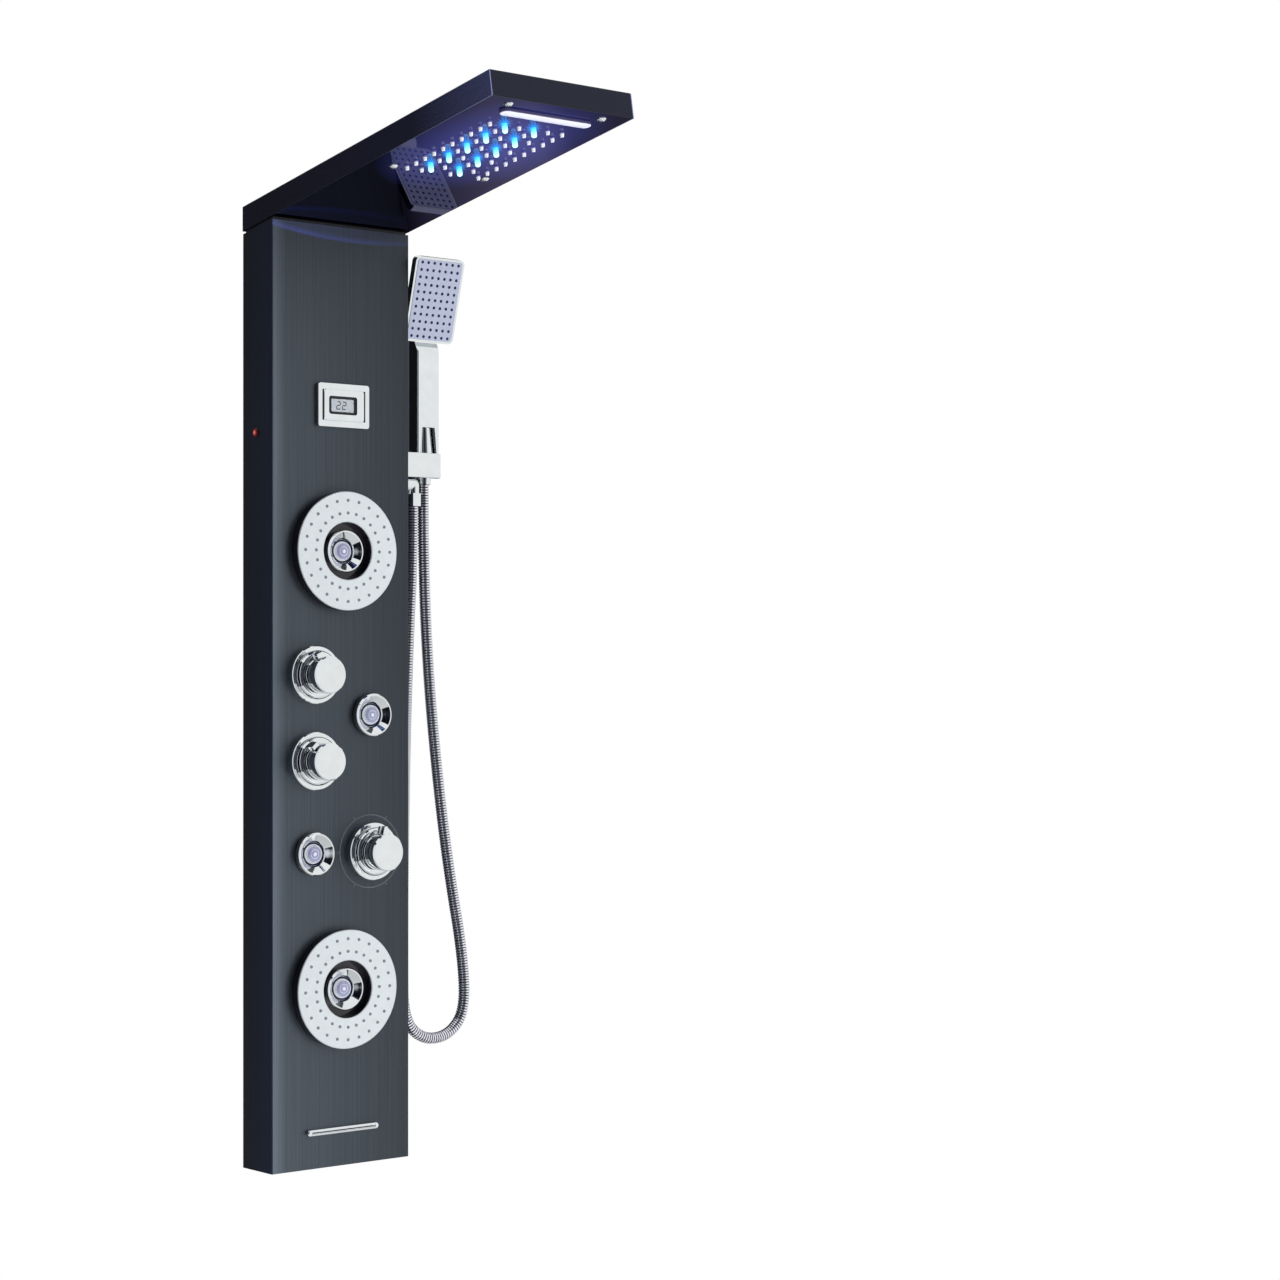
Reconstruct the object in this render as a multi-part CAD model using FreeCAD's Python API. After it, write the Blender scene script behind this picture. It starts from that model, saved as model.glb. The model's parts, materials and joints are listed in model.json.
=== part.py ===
"""Wall-hung shower panel with rain overhead, jets, three knobs, bath spout and hand shower.

Millimetres. X runs to the right, Y into the wall (the wall is y = 0 and the front is -Y), Z up.
Heights are measured from the panel's lower edge while modelling. The finished pieces are shifted
so that the origin lies on the wall, midway between the upper wall screws.
"""
import FreeCAD, Part
import math
import os

from FreeCAD import Placement, Rotation, Vector

# Panel casing, folded from sheet and open towards the wall
PANEL_WIDTH = 200.0
PANEL_DEPTH = 65.0
PANEL_HEIGHT = 1140.0
SHEET = 1.2
INNER_FOLD = 0.6
BACK_LIP = 14.0
CAP_FLANGE = 12.0
TOP_CAP = 2.0
SEAM = 0.2

# Wall brackets and the rails that hook over them
HANG_HEIGHT = 1040.0
LOWER_BRACKET_HEIGHT = 80.0
BRACKET_WIDTH = 120.0
BRACKET_SHEET = 2.0
BRACKET_BELOW = 20.0
BRACKET_SHELF = 14.0
HOOK_REACH = 8.0
HOOK_RISE = 12.0
HOOK_CLEARANCE = 0.3
RAIL_SHEET = 2.0
RAIL_BELOW = 12.0
WALL_SCREW_SPACING = 80.0
WALL_SCREW_HOLE = 6.0

# Overhead, tilted up towards the front, with a shadow gap above the panel
HEAD_TILT = 10.0
HEAD_LENGTH = 505.0
HEAD_THICKNESS = 30.0
HEAD_REVEAL = 3.6
NECK_INSET = 3.0
NECK_FRAME = 7.0
SOFFIT_FLANGE = 12.0

# Rain field: rows run from the front to the wall, columns across
FIELD_INSET = 69.5
FIELD_ROWS = 10
FIELD_COLUMNS = 6
ROW_PITCH = 17.65
COLUMN_PITCH = 20.4
LAMP_COLUMNS = (1, 3)
SPARSE_COLUMNS = (0, 1, 3, 5)
NOZZLE_DIAMETER = 5.4
NOZZLE_TIP = 3.8
NOZZLE_HANG = 5.0
NOZZLE_HEAD = 2.0
LAMP_DIAMETER = 6.4
LAMP_ROUND = 2.6
LAMP_HANG = 11.0
PLUG_CLEARANCE = 0.1
LAMP_STRIP_WIDTH = 9.0
LAMP_STRIP_THICKNESS = 4.0
CHAMBER_SIDE_MARGIN = 9.0
CHAMBER_END_MARGIN = 14.0
CHAMBER_HEIGHT = 19.0
CHAMBER_WALL = 2.0
EAR_WIDTH = 14.0
EAR_THICKNESS = 6.0
SOFFIT_SCREW_HEAD = 11.0
SOFFIT_SCREW_DOME = 3.2
SOFFIT_SCREW_SHANK = 4.0
SCREW_CLEARANCE = 0.2

# Waterfall spout at the front of the overhead
WATERFALL_GAP = 35.5
WATERFALL_WIDTH = 126.0
WATERFALL_BEZEL = 14.0
WATERFALL_HANG = 4.0
WATERFALL_SLOT_WIDTH = 112.0
WATERFALL_SLOT = 8.0
WATERFALL_NECK_WIDTH = 118.0
WATERFALL_NECK = 11.0
WATERFALL_BODY_MARGIN = 2.0
WATERFALL_BODY_DEPTH = 22.0
WATERFALL_BODY_HEIGHT = 18.0

# Front of the panel: a column of knobs and jets on each side of the middle, with gaps from rim to rim
COLUMN_X = 42.0
COLD_HEIGHT = 492.0
COLD_TO_HOT = 34.0
COLD_TO_LEFT_JET = 51.0
DIVERTER_TO_RIGHT_JET = 106.0
DIVERTER_TO_LOWER_DISC = 58.0
HOT_TO_UPPER_DISC = 43.0
UPPER_DISC_TO_DISPLAY = 78.0
SPOUT_HEIGHT = 44.0

# Spray discs
DISC_DIAMETER = 144.0
DISC_HOLE = 70.0
DISC_HEIGHT = 14.0
DISC_FACE = 2.0
DISC_WALL = 2.5
DISC_EDGE = 0.8
DISC_SEAT = 2.0
DISC_DOTS = 24
DOT_RING_OUTER = 122.6
DOT_RING_INNER = 92.0
DOT_DIAMETER = 3.0
DOT_DEPTH = 1.3

# Jets: cup, tilting ball, lens, nut and the seal under the two single jets
JET_DIAMETER = 52.0
JET_RISE = 8.0
JET_RIM = 1.5
JET_EDGE = 1.2
JET_THROAT_DIAMETER = 32.0
JET_THROAT_RISE = 3.7
JET_DISH_DIAMETER = 29.2
JET_LIP = 4.8
JET_BALL_DROP = 7.0
JET_STEM_DIAMETER = 34.0
JET_NUT_FLATS = 42.0
JET_NUT_THICKNESS = 8.0
JET_TAIL_DIAMETER = 20.0
JET_WATERWAY = 12.0
BALL_DIAMETER = 28.0
BALL_CLEARANCE = 0.3
BALL_FRONT = 8.0
BALL_REAR = 9.0
BALL_BORE = 12.0
LENS_DIAMETER = 21.4
LENS_SEAT = 2.0
LENS_DOME = 2.4
LENS_CLEARANCE = 0.15
THREAD_CLEARANCE = 0.1

# Knobs, spindles, flanges and cartridges
KNOB_DIAMETER = 45.0
KNOB_START = 18.0
KNOB_LENGTH = 21.0
KNOB_EDGE = 1.2
KNOB_SOCKET = 14.0
KNOB_GAP = 0.5
TAB_WIDTH = 9.0
TAB_REACH = 6.5
TAB_START = 3.0
TAB_LENGTH = 13.0
POINTER_TIP = 4.0
POINTER_REACH = 9.0
HOT_TAB_ANGLE = 26.0
COLD_TAB_ANGLE = 44.0
DIVERTER_TAB_ANGLE = 0.0
SPINDLE_DIAMETER = 8.0
SPINDLE_CLEARANCE = 0.06
SPINDLE_DEPTH = 15.0
FLANGE_DIAMETER = 70.0
FLANGE_RIM = 9.5
FLANGE_HUB = 60.0
FLANGE_HUB_ROUND = 6.0
FLANGE_TOP = 16.5
FLANGE_NECK = 34.0
FLANGE_HOLLOW = 40.0
FLANGE_HOLLOW_DEPTH = 6.0
FLANGE_SPINDLE_GAP = 0.5
CARTRIDGE_DIAMETER = 23.8
CARTRIDGE_PROUD = 8.0
CARTRIDGE_SEAT_DEPTH = 27.0
RING_NUT_FLATS = 32.0
RING_NUT_THICKNESS = 5.0

# Valve body, diverter and the tubes, in a front and a rear layer behind the sheet
FRONT_LAYER = 34.0
REAR_LAYER = 17.0
BARREL_DIAMETER = 30.0
BARREL_END = 24.0
BOSS_DIAMETER = 38.0
INLET_DIAMETER = 20.96
INLET_LENGTH = 14.0
INLET_BORE = 15.0
INLET_SHOULDER = 27.0
INLET_SHOULDER_PROUD = 1.0
GALLERY_BORE = 10.0
MIXED_STUB = 6.0
DIVERTER_DIAMETER = 48.0
DIVERTER_BACK = 8.0
DIVERTER_FRONT = 52.0
MIXED_TUBE = 16.0
RAIN_TUBE = 14.0
SERVICE_TUBE = 12.0
TUBE_WALL = 1.6
TUBE_END_GAP = 0.2
LANE_GAP = 3.0
BEND_RADIUS = 20.0
RAIN_PORT_OFFSET = 12.0
WATERFALL_PORT_OFFSET = 15.0
PORT_RISE = 26.0
LANE_CHANGE = 40.0
HEAD_TUBE_LIFT = 12.0
TAIL_LENGTH = 10.0

# Generator in the rain riser
GENERATOR_DIAMETER = 30.0
GENERATOR_LENGTH = 56.0
GENERATOR_NECK = 18.0
GENERATOR_NECK_LENGTH = 8.0
GENERATOR_ABOVE_DISC = 72.0

# Display
DISPLAY_WIDTH = 75.0
DISPLAY_TALL = 53.0
DISPLAY_THICKNESS = 5.0
DISPLAY_CORNER = 3.5
WINDOW_WIDTH = 44.0
WINDOW_TALL = 22.5
WINDOW_CORNER = 2.0
WINDOW_RECESS = 0.8
WINDOW_CLEARANCE = 0.2
GROOVE_OFFSET = 30.0
GROOVE_WIDTH = 2.0
GROOVE_TALL = 38.0
GROOVE_DEPTH = 1.6
LEDGE_WIDTH = 1.2
LEDGE_DEPTH = 0.6
MODULE_WIDTH = 60.0
MODULE_TALL = 38.0
MODULE_DEPTH = 18.0

# Pilot lamp on the left side
PILOT_HEIGHT = 887.0
PILOT_FROM_WALL = 31.0
PILOT_DIAMETER = 8.0
PILOT_COLLAR = 11.0
PILOT_COLLAR_HEIGHT = 1.4
PILOT_DOME = 2.0
PILOT_LENGTH = 12.0

# Bath spout
SPOUT_WIDTH = 104.0
SPOUT_TALL = 8.0
SPOUT_PROUD = 5.0
SPOUT_SLOT_WIDTH = 94.0
SPOUT_SLOT = 3.4
SPOUT_NECK_WIDTH = 99.0
SPOUT_NECK = 6.0
SPOUT_BODY_MARGIN = 2.0
SPOUT_BODY_TALL = 24.0
SPOUT_BODY_DEPTH = 18.0

# Hand shower, holder and hose outlet on the right side
HANDSET_REACH = 40.0
HANDSET_FROM_WALL = 40.0
HOLDER_HEIGHT = 842.0
HOLDER_TALL = 31.0
HOLDER_LENGTH = 56.0
HOLDER_THICKNESS = 30.0
HOLDER_EDGE = 1.5
SOCKET_TOP = 24.6
SOCKET_BOTTOM = 20.6
SOCKET_SLOT = 16.0
HANDSET_LIFT = 0.3
HANDLE_WIDTH = 34.0
HANDLE_DEPTH = 22.0
HANDLE_EDGE = 2.5
HANDLE_LENGTH = 138.0
SHOULDER_LENGTH = 50.0
SPRAY_WIDTH = 74.0
SPRAY_LENGTH = 106.0
SPRAY_DEPTH = 11.0
SPRAY_CORNER = 7.0
SPRAY_TILT = 15.0
FACE_RIM = 3.0
FACE_RECESS = 1.5
FACE_PROUD = 0.5
FACE_CLEARANCE = 0.15
FACE_COLUMNS = 7
FACE_ROWS = 11
FACE_PITCH = 9.2
FACE_DOT = 2.6
FACE_DOT_DEPTH = 1.2
NOTCH_HEIGHT = 32.0
NOTCH_CLEARANCE = 0.6
SPIGOT_DIAMETER = 14.0
SPIGOT_LENGTH = 18.0
CONE_TOP = 18.6
CONE_WIDEST = 23.8
CONE_FOOT = 19.6
CONE_COLLAR = 18.0
CONE_BELOW = 8.0
CONE_BORE = 10.0
OUTLET_REACH = 19.0
OUTLET_FROM_WALL = 46.0
OUTLET_DIAMETER = 17.0
OUTLET_FLANGE = 26.0
OUTLET_FLANGE_THICKNESS = 4.0
OUTLET_GAP = 1.0
OUTLET_SPIGOT = 13.0
OUTLET_DROP = 10.5
HOSE_NUT_FLATS = 20.0
HOSE_NUT_LENGTH = 16.0

# Ribbed hose: a hanging loop from the conical nut round to the outlet's nut
HOSE_DIAMETER = 14.0
HOSE_BORE = 8.0
HOSE_VALLEY = 12.4
HOSE_RIBS = 200
HOSE_ROUTE = [
    (140.0, -40.0, 834.0),
    (140.0, -40.0, 742.0),
    (148.0, -39.0, 600.0),
    (164.0, -38.0, 462.0),
    (181.0, -38.0, 350.0),
    (203.0, -38.0, 241.0),
    (207.0, -38.0, 169.0),
    (180.0, -38.0, 139.5),
    (140.0, -38.0, 138.0),
    (111.0, -38.0, 165.5),
    (110.0, -38.0, 236.0),
    (110.4, -38.6, 370.0),
    (112.0, -40.2, 515.0),
    (115.2, -43.0, 650.0),
    (119.0, -46.0, 740.0),
    (119.0, -46.0, 806.0),
]

# Places worked out from the sizes above
HALF_WIDTH = PANEL_WIDTH / 2
INNER_HALF = HALF_WIDTH - SHEET
FRONT = -PANEL_DEPTH
INNER_FRONT = FRONT + SHEET
TILT = math.radians(HEAD_TILT)
NECK_LEVEL = PANEL_HEIGHT + HEAD_REVEAL / math.cos(TILT) - PANEL_DEPTH * math.tan(TILT)
HEAD_PLACE = Placement(Vector(0, 0, NECK_LEVEL), Rotation(Vector(1, 0, 0), -HEAD_TILT))
FIELD_FRONT = HEAD_LENGTH - FIELD_INSET
FIELD_REAR = FIELD_FRONT - (FIELD_ROWS - 1) * ROW_PITCH
CHAMBER_HALF = (FIELD_COLUMNS - 1) / 2 * COLUMN_PITCH + CHAMBER_SIDE_MARGIN
CHAMBER_REAR = FIELD_REAR - CHAMBER_END_MARGIN
CHAMBER_FRONT = FIELD_FRONT + CHAMBER_END_MARGIN
WATERFALL_ALONG = FIELD_FRONT + WATERFALL_GAP
SOFFIT_SCREW_X = CHAMBER_HALF + SOFFIT_SCREW_HEAD / 2
REAR_SCREW_ALONG = CHAMBER_REAR + EAR_WIDTH / 2
FRONT_SCREW_ALONG = WATERFALL_ALONG + WATERFALL_BODY_DEPTH / 2 + EAR_WIDTH / 2
HOT_HEIGHT = COLD_HEIGHT + FLANGE_DIAMETER + COLD_TO_HOT
LEFT_JET_HEIGHT = COLD_HEIGHT - (FLANGE_DIAMETER + JET_DIAMETER) / 2 - COLD_TO_LEFT_JET
DIVERTER_HEIGHT = LEFT_JET_HEIGHT
RIGHT_JET_HEIGHT = DIVERTER_HEIGHT + (FLANGE_DIAMETER + JET_DIAMETER) / 2 + DIVERTER_TO_RIGHT_JET
LOWER_DISC_HEIGHT = DIVERTER_HEIGHT - (FLANGE_DIAMETER + DISC_DIAMETER) / 2 - DIVERTER_TO_LOWER_DISC
UPPER_DISC_HEIGHT = HOT_HEIGHT + (FLANGE_DIAMETER + DISC_DIAMETER) / 2 + HOT_TO_UPPER_DISC
DISPLAY_HEIGHT = UPPER_DISC_HEIGHT + (DISC_DIAMETER + DISPLAY_TALL) / 2 + UPPER_DISC_TO_DISPLAY
GENERATOR_HEIGHT = UPPER_DISC_HEIGHT + GENERATOR_ABOVE_DISC
JET_SEAT_Y = FRONT - DISC_SEAT
RAIN_LANE = COLUMN_X - (JET_STEM_DIAMETER + RAIN_TUBE) / 2 - LANE_GAP
RAIN_UPPER_LANE = (JET_STEM_DIAMETER + RAIN_TUBE) / 2 + LANE_GAP
MIXED_LANE = RAIN_LANE - (RAIN_TUBE + MIXED_TUBE) / 2 - LANE_GAP
WATERFALL_LANE = COLUMN_X + (JET_STEM_DIAMETER + SERVICE_TUBE) / 2 + LANE_GAP
WATERFALL_HEAD_LANE = SOFFIT_SCREW_X + EAR_WIDTH / 2 + SERVICE_TUBE / 2 + LANE_GAP / 2
HANDSET_LANE = WATERFALL_LANE + SERVICE_TUBE + LANE_GAP
HANDSET_X = HALF_WIDTH + HANDSET_REACH
HANDSET_Y = -HANDSET_FROM_WALL
HOLDER_TOP = HOLDER_HEIGHT + HOLDER_TALL
OUTLET_X = HALF_WIDTH + OUTLET_REACH
OUTLET_Y = -OUTLET_FROM_WALL
OUTLET_HEIGHT = HOLDER_HEIGHT - OUTLET_DIAMETER / 2 - OUTLET_GAP
JETS = {
    "upper": (0.0, UPPER_DISC_HEIGHT),
    "right": (COLUMN_X, RIGHT_JET_HEIGHT),
    "left": (-COLUMN_X, LEFT_JET_HEIGHT),
    "lower": (0.0, LOWER_DISC_HEIGHT),
}
KNOBS = {
    "hot": (-COLUMN_X, HOT_HEIGHT, HOT_TAB_ANGLE),
    "cold": (-COLUMN_X, COLD_HEIGHT, COLD_TAB_ANGLE),
    "diverter": (COLUMN_X, DIVERTER_HEIGHT, DIVERTER_TAB_ANGLE),
}
ACROSS = Vector(1, 0, 0)
INWARDS = Vector(0, 1, 0)
UP = Vector(0, 0, 1)


# Drawing helpers
def block(x_range, y_range, z_range):
    """Box between two limits on each axis."""
    low = Vector(x_range[0], y_range[0], z_range[0])
    return Part.makeBox(x_range[1] - x_range[0], y_range[1] - y_range[0], z_range[1] - z_range[0], low)


def edges_along(shape, direction):
    """Straight edges of a shape that run along a direction."""
    found = []
    for edge in shape.Edges:
        run = edge.Vertexes[-1].Point - edge.Vertexes[0].Point
        if run.Length > 0 and abs(run.normalize().dot(direction)) > 0.999:
            found.append(edge)
    return found


def rims_at(shape, level):
    """Edges of a shape that lie at one height."""
    return [edge for edge in shape.Edges
            if abs(edge.BoundBox.ZMin - level) < 0.01 and abs(edge.BoundBox.ZMax - level) < 0.01]


def rounded_block(x_range, y_range, z_range, radius, direction):
    """Box whose edges along one direction are rounded."""
    box = block(x_range, y_range, z_range)
    return box.makeFillet(radius, edges_along(box, direction))


def rod(start, direction, diameter, length):
    """Cylinder from a point along a direction."""
    return Part.makeCylinder(diameter / 2, length, start, direction)


def turned(profile):
    """Solid turned about the Z axis from a closed outline of (radius, height) points."""
    points = [Vector(radius, 0, height) for radius, height in profile]
    points.append(points[0])
    return Part.Face(Part.makePolygon(points)).revolve(Vector(0, 0, 0), UP, 360)


def prism(outline, start, travel):
    """Outline of points in a plane, moved along a vector."""
    points = [start + point for point in outline]
    points.append(points[0])
    return Part.Face(Part.makePolygon(points)).extrude(travel)


def hexagon(flats, bottom, top):
    """Hexagonal bar along Z."""
    corner = flats / 2 / math.cos(math.pi / 6)
    points = []
    for side in range(6):
        angle = side * math.pi / 3
        points.append(Vector(corner * math.cos(angle), corner * math.sin(angle), bottom))
    return prism(points, Vector(), UP * (top - bottom))


def stadium(length, width, bottom, top):
    """Slot-shaped bar along Z, long along X."""
    radius = width / 2
    reach = length / 2 - radius
    lower = Part.LineSegment(Vector(-reach, -radius, bottom), Vector(reach, -radius, bottom))
    right = Part.Arc(lower.EndPoint, Vector(reach + radius, 0, bottom), Vector(reach, radius, bottom))
    upper = Part.LineSegment(right.EndPoint, Vector(-reach, radius, bottom))
    left = Part.Arc(upper.EndPoint, Vector(-reach - radius, 0, bottom), lower.StartPoint)
    wire = Part.Wire([piece.toShape() for piece in (lower, right, upper, left)])
    return Part.Face(wire).extrude(UP * (top - bottom))


def on_front(shape, x, height, lift=0.0):
    """Stand a shape drawn face up on the panel's front, its Z towards the room."""
    return placed(shape, Placement(Vector(x, FRONT - lift, height), Rotation(ACROSS, 90)))


def placed(shape, placement):
    """Copy of a shape at a placement."""
    copy = shape.copy()
    copy.Placement = placement.multiply(copy.Placement)
    return copy


def in_head(shape):
    """Move a shape drawn along the overhead (y = -distance from the wall, z = height) to its tilt."""
    return placed(shape, HEAD_PLACE)


def head_point(x, along, lift):
    """Point in the overhead, by its distance from the wall along the slope and its height."""
    return HEAD_PLACE.multVec(Vector(x, -along, lift))


def before_wall(shape):
    """Part of a shape on the room's side of the wall."""
    box = shape.BoundBox
    behind = block((box.XMin - 1, box.XMax + 1), (0, box.YMax + 1), (box.ZMin - 1, box.ZMax + 1))
    return shape.cut(behind) if box.YMax > 0 else shape


def bent_path(points, bend=None):
    """Straight runs joined by tangent arcs; without a bend radius each arc is as large as its runs allow."""
    edges = []
    radii = []
    start = points[0]
    for before, corner, after in zip(points, points[1:], points[2:]):
        arriving = corner - before
        leaving = after - corner
        shorter = min(arriving.Length, leaving.Length)
        arriving.normalize()
        leaving.normalize()
        half_turn = arriving.getAngle(leaving) / 2
        radius = bend if bend else 0.45 * shorter / math.tan(half_turn)
        setback = radius * math.tan(half_turn)
        inwards = (leaving - arriving).normalize()
        first = corner - arriving * setback
        middle = corner + inwards * (radius / math.cos(half_turn) - radius)
        last = corner + leaving * setback
        edges.append(Part.LineSegment(start, first).toShape())
        edges.append(Part.Arc(first, middle, last).toShape())
        radii.append(radius)
        start = last
    edges.append(Part.LineSegment(start, points[-1]).toShape())
    return Part.Wire(edges), radii


def pipe(points, diameter, bend=BEND_RADIUS):
    """Round bar that follows a bent path."""
    path, radii = bent_path(points, bend)
    ring = Part.makeCircle(diameter / 2, points[0], points[1] - points[0])
    return path.makePipeShell([Part.Wire(ring)], True, False)


def hollow_pipe(points, diameter):
    """Water tube that follows a bent path."""
    return pipe(points, diameter).cut(pipe(points, diameter - 2 * TUBE_WALL))


def spray_places():
    """Places of the rain field as (x, distance from the wall, is a lamp)."""
    for row in range(FIELD_ROWS):
        along = FIELD_FRONT - row * ROW_PITCH
        for column in range(FIELD_COLUMNS):
            x = (column - (FIELD_COLUMNS - 1) / 2) * COLUMN_PITCH
            if row % 2 == 0:
                yield x, along, column in LAMP_COLUMNS
            elif column in SPARSE_COLUMNS:
                yield x, along, False


# Panel casing
def panel_shell():
    """Folded channel with lips against the wall, its top sloped to the overhead, with its holes."""
    tall = PANEL_HEIGHT + PANEL_DEPTH
    outer = rounded_block((-HALF_WIDTH, HALF_WIDTH), (FRONT, 0), (0, tall), INNER_FOLD + SHEET, UP)
    inner = rounded_block(
        (-INNER_HALF, INNER_HALF), (INNER_FRONT, -SHEET), (-1, tall + 1), INNER_FOLD, UP)
    opening = block(
        (BACK_LIP - HALF_WIDTH, HALF_WIDTH - BACK_LIP), (-SHEET - 1, 1), (-1, tall + 1))
    above = in_head(block(
        (-PANEL_WIDTH, PANEL_WIDTH), (-2 * PANEL_DEPTH, 2 * PANEL_DEPTH), (-HEAD_REVEAL, tall)))
    shell = outer.cut(inner).cut(opening).cut(above)
    holes = []
    for x, height in JETS.values():
        holes.append(front_hole(x, height, JET_STEM_DIAMETER + 2 * THREAD_CLEARANCE))
    for x, height, angle in KNOBS.values():
        holes.append(front_hole(x, height, CARTRIDGE_DIAMETER + 2 * THREAD_CLEARANCE))
    window = rounded_block(
        (-MODULE_WIDTH / 2 - SEAM, MODULE_WIDTH / 2 + SEAM),
        (-MODULE_TALL / 2 - SEAM, MODULE_TALL / 2 + SEAM),
        (-2 * SHEET, SHEET), WINDOW_CORNER + SEAM, UP)
    holes.append(on_front(window, 0, DISPLAY_HEIGHT))
    neck = stadium(SPOUT_NECK_WIDTH + 2 * SEAM, SPOUT_NECK + 2 * SEAM, -2 * SHEET, SHEET)
    holes.append(on_front(neck, 0, SPOUT_HEIGHT))
    left = Vector(-HALF_WIDTH - 1, -PILOT_FROM_WALL, PILOT_HEIGHT)
    holes.append(rod(left, ACROSS, PILOT_DIAMETER + 2 * THREAD_CLEARANCE, SHEET + 2))
    right = Vector(INNER_HALF - 1, OUTLET_Y, OUTLET_HEIGHT)
    holes.append(rod(right, ACROSS, OUTLET_DIAMETER + 2 * THREAD_CLEARANCE, SHEET + 2))
    return shell.cut(holes)


def front_hole(x, height, diameter):
    """Cutter for a round hole in the panel's front."""
    return rod(Vector(x, FRONT - 1, height), INWARDS, diameter, SHEET + 2)


def bottom_cap():
    """Tray set into the lower end of the casing."""
    half = INNER_HALF - SEAM
    front = INNER_FRONT + SEAM
    back = -SHEET - SEAM
    tray = rounded_block((-half, half), (front, back), (0, CAP_FLANGE), INNER_FOLD, UP)
    hollow = block(
        (SHEET - half, half - SHEET), (front + SHEET, back - SHEET), (SHEET, CAP_FLANGE + 1))
    return tray.cut(hollow)


def neck_opening():
    """Cutter for the way from the panel up into the overhead."""
    margin = NECK_INSET + NECK_FRAME
    reach = HEAD_THICKNESS
    return block(
        (margin - HALF_WIDTH, HALF_WIDTH - margin), (FRONT + margin, -margin),
        (NECK_LEVEL - reach, PANEL_HEIGHT + reach))


def top_cap():
    """Sloped plate that closes the casing's top edge and carries the overhead."""
    half = INNER_HALF - SEAM
    inside = rounded_block(
        (-half, half), (INNER_FRONT + SEAM, -SHEET - SEAM), (0, 2 * PANEL_HEIGHT), INNER_FOLD, UP)
    slab = in_head(block(
        (-PANEL_WIDTH, PANEL_WIDTH), (-2 * PANEL_DEPTH, PANEL_DEPTH),
        (-HEAD_REVEAL - TOP_CAP, -HEAD_REVEAL)))
    return inside.common(slab).cut(neck_opening())


def neck_gasket():
    """Dark frame in the shadow gap between the casing and the overhead."""
    inside = block(
        (NECK_INSET - HALF_WIDTH, HALF_WIDTH - NECK_INSET), (FRONT + NECK_INSET, -NECK_INSET),
        (0, 2 * PANEL_HEIGHT))
    slab = in_head(block(
        (-PANEL_WIDTH, PANEL_WIDTH), (-2 * PANEL_DEPTH, PANEL_DEPTH), (-HEAD_REVEAL, 0)))
    return inside.common(slab).cut(neck_opening())


def wall_bracket(height):
    """Hooked plate for the wall with two screw holes."""
    sheet = BRACKET_SHEET
    lip = BRACKET_SHELF + HOOK_RISE
    section = [
        Vector(0, 0, -BRACKET_BELOW), Vector(0, 0, BRACKET_SHELF),
        Vector(0, sheet - HOOK_REACH, BRACKET_SHELF), Vector(0, sheet - HOOK_REACH, lip),
        Vector(0, -HOOK_REACH, lip), Vector(0, -HOOK_REACH, BRACKET_SHELF - sheet),
        Vector(0, -sheet, BRACKET_SHELF - sheet), Vector(0, -sheet, -BRACKET_BELOW)]
    plate = prism(section, Vector(-BRACKET_WIDTH / 2, 0, height), ACROSS * BRACKET_WIDTH)
    for side in (-1, 1):
        start = Vector(side * WALL_SCREW_SPACING / 2, -sheet - 1, height)
        plate = plate.cut(rod(start, INWARDS, WALL_SCREW_HOLE, sheet + 2))
    return plate


def hanger_rail(height):
    """Rail across the casing that drops behind the bracket's hook."""
    half = INNER_HALF - SEAM
    middle = (BRACKET_SHEET - HOOK_REACH) / 2
    seat = BRACKET_SHELF + HOOK_CLEARANCE
    roof = BRACKET_SHELF + HOOK_RISE + HOOK_CLEARANCE + RAIL_SHEET
    web = -HOOK_REACH - HOOK_CLEARANCE
    section = [
        Vector(0, middle + RAIL_SHEET / 2, seat), Vector(0, middle + RAIL_SHEET / 2, roof),
        Vector(0, web - RAIL_SHEET, roof), Vector(0, web - RAIL_SHEET, -RAIL_BELOW),
        Vector(0, web, -RAIL_BELOW), Vector(0, web, roof - RAIL_SHEET),
        Vector(0, middle - RAIL_SHEET / 2, roof - RAIL_SHEET), Vector(0, middle - RAIL_SHEET / 2, seat)]
    return prism(section, Vector(-half, 0, height), ACROSS * 2 * half)


def wall_brackets():
    """Upper and lower wall bracket."""
    return Part.Compound([wall_bracket(height) for height in (HANG_HEIGHT, LOWER_BRACKET_HEIGHT)])


def hanger_rails():
    """Upper and lower rail."""
    return Part.Compound([hanger_rail(height) for height in (HANG_HEIGHT, LOWER_BRACKET_HEIGHT)])


# Overhead
def head_shell():
    """Folded lid: top, two sides and front, open below and towards the wall."""
    beyond = HEAD_THICKNESS
    outer = block((-HALF_WIDTH, HALF_WIDTH), (-HEAD_LENGTH, beyond), (0, HEAD_THICKNESS))
    top_edges = [edge for edge in outer.Edges
                 if edge.BoundBox.ZMin > HEAD_THICKNESS - 1 and edge.BoundBox.YMin < beyond - 1]
    outer = outer.makeFillet(INNER_FOLD + SHEET, top_edges)
    inner = block(
        (-INNER_HALF, INNER_HALF), (SHEET - HEAD_LENGTH, beyond + 1), (-1, HEAD_THICKNESS - SHEET))
    return before_wall(in_head(outer.cut(inner)))


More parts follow.
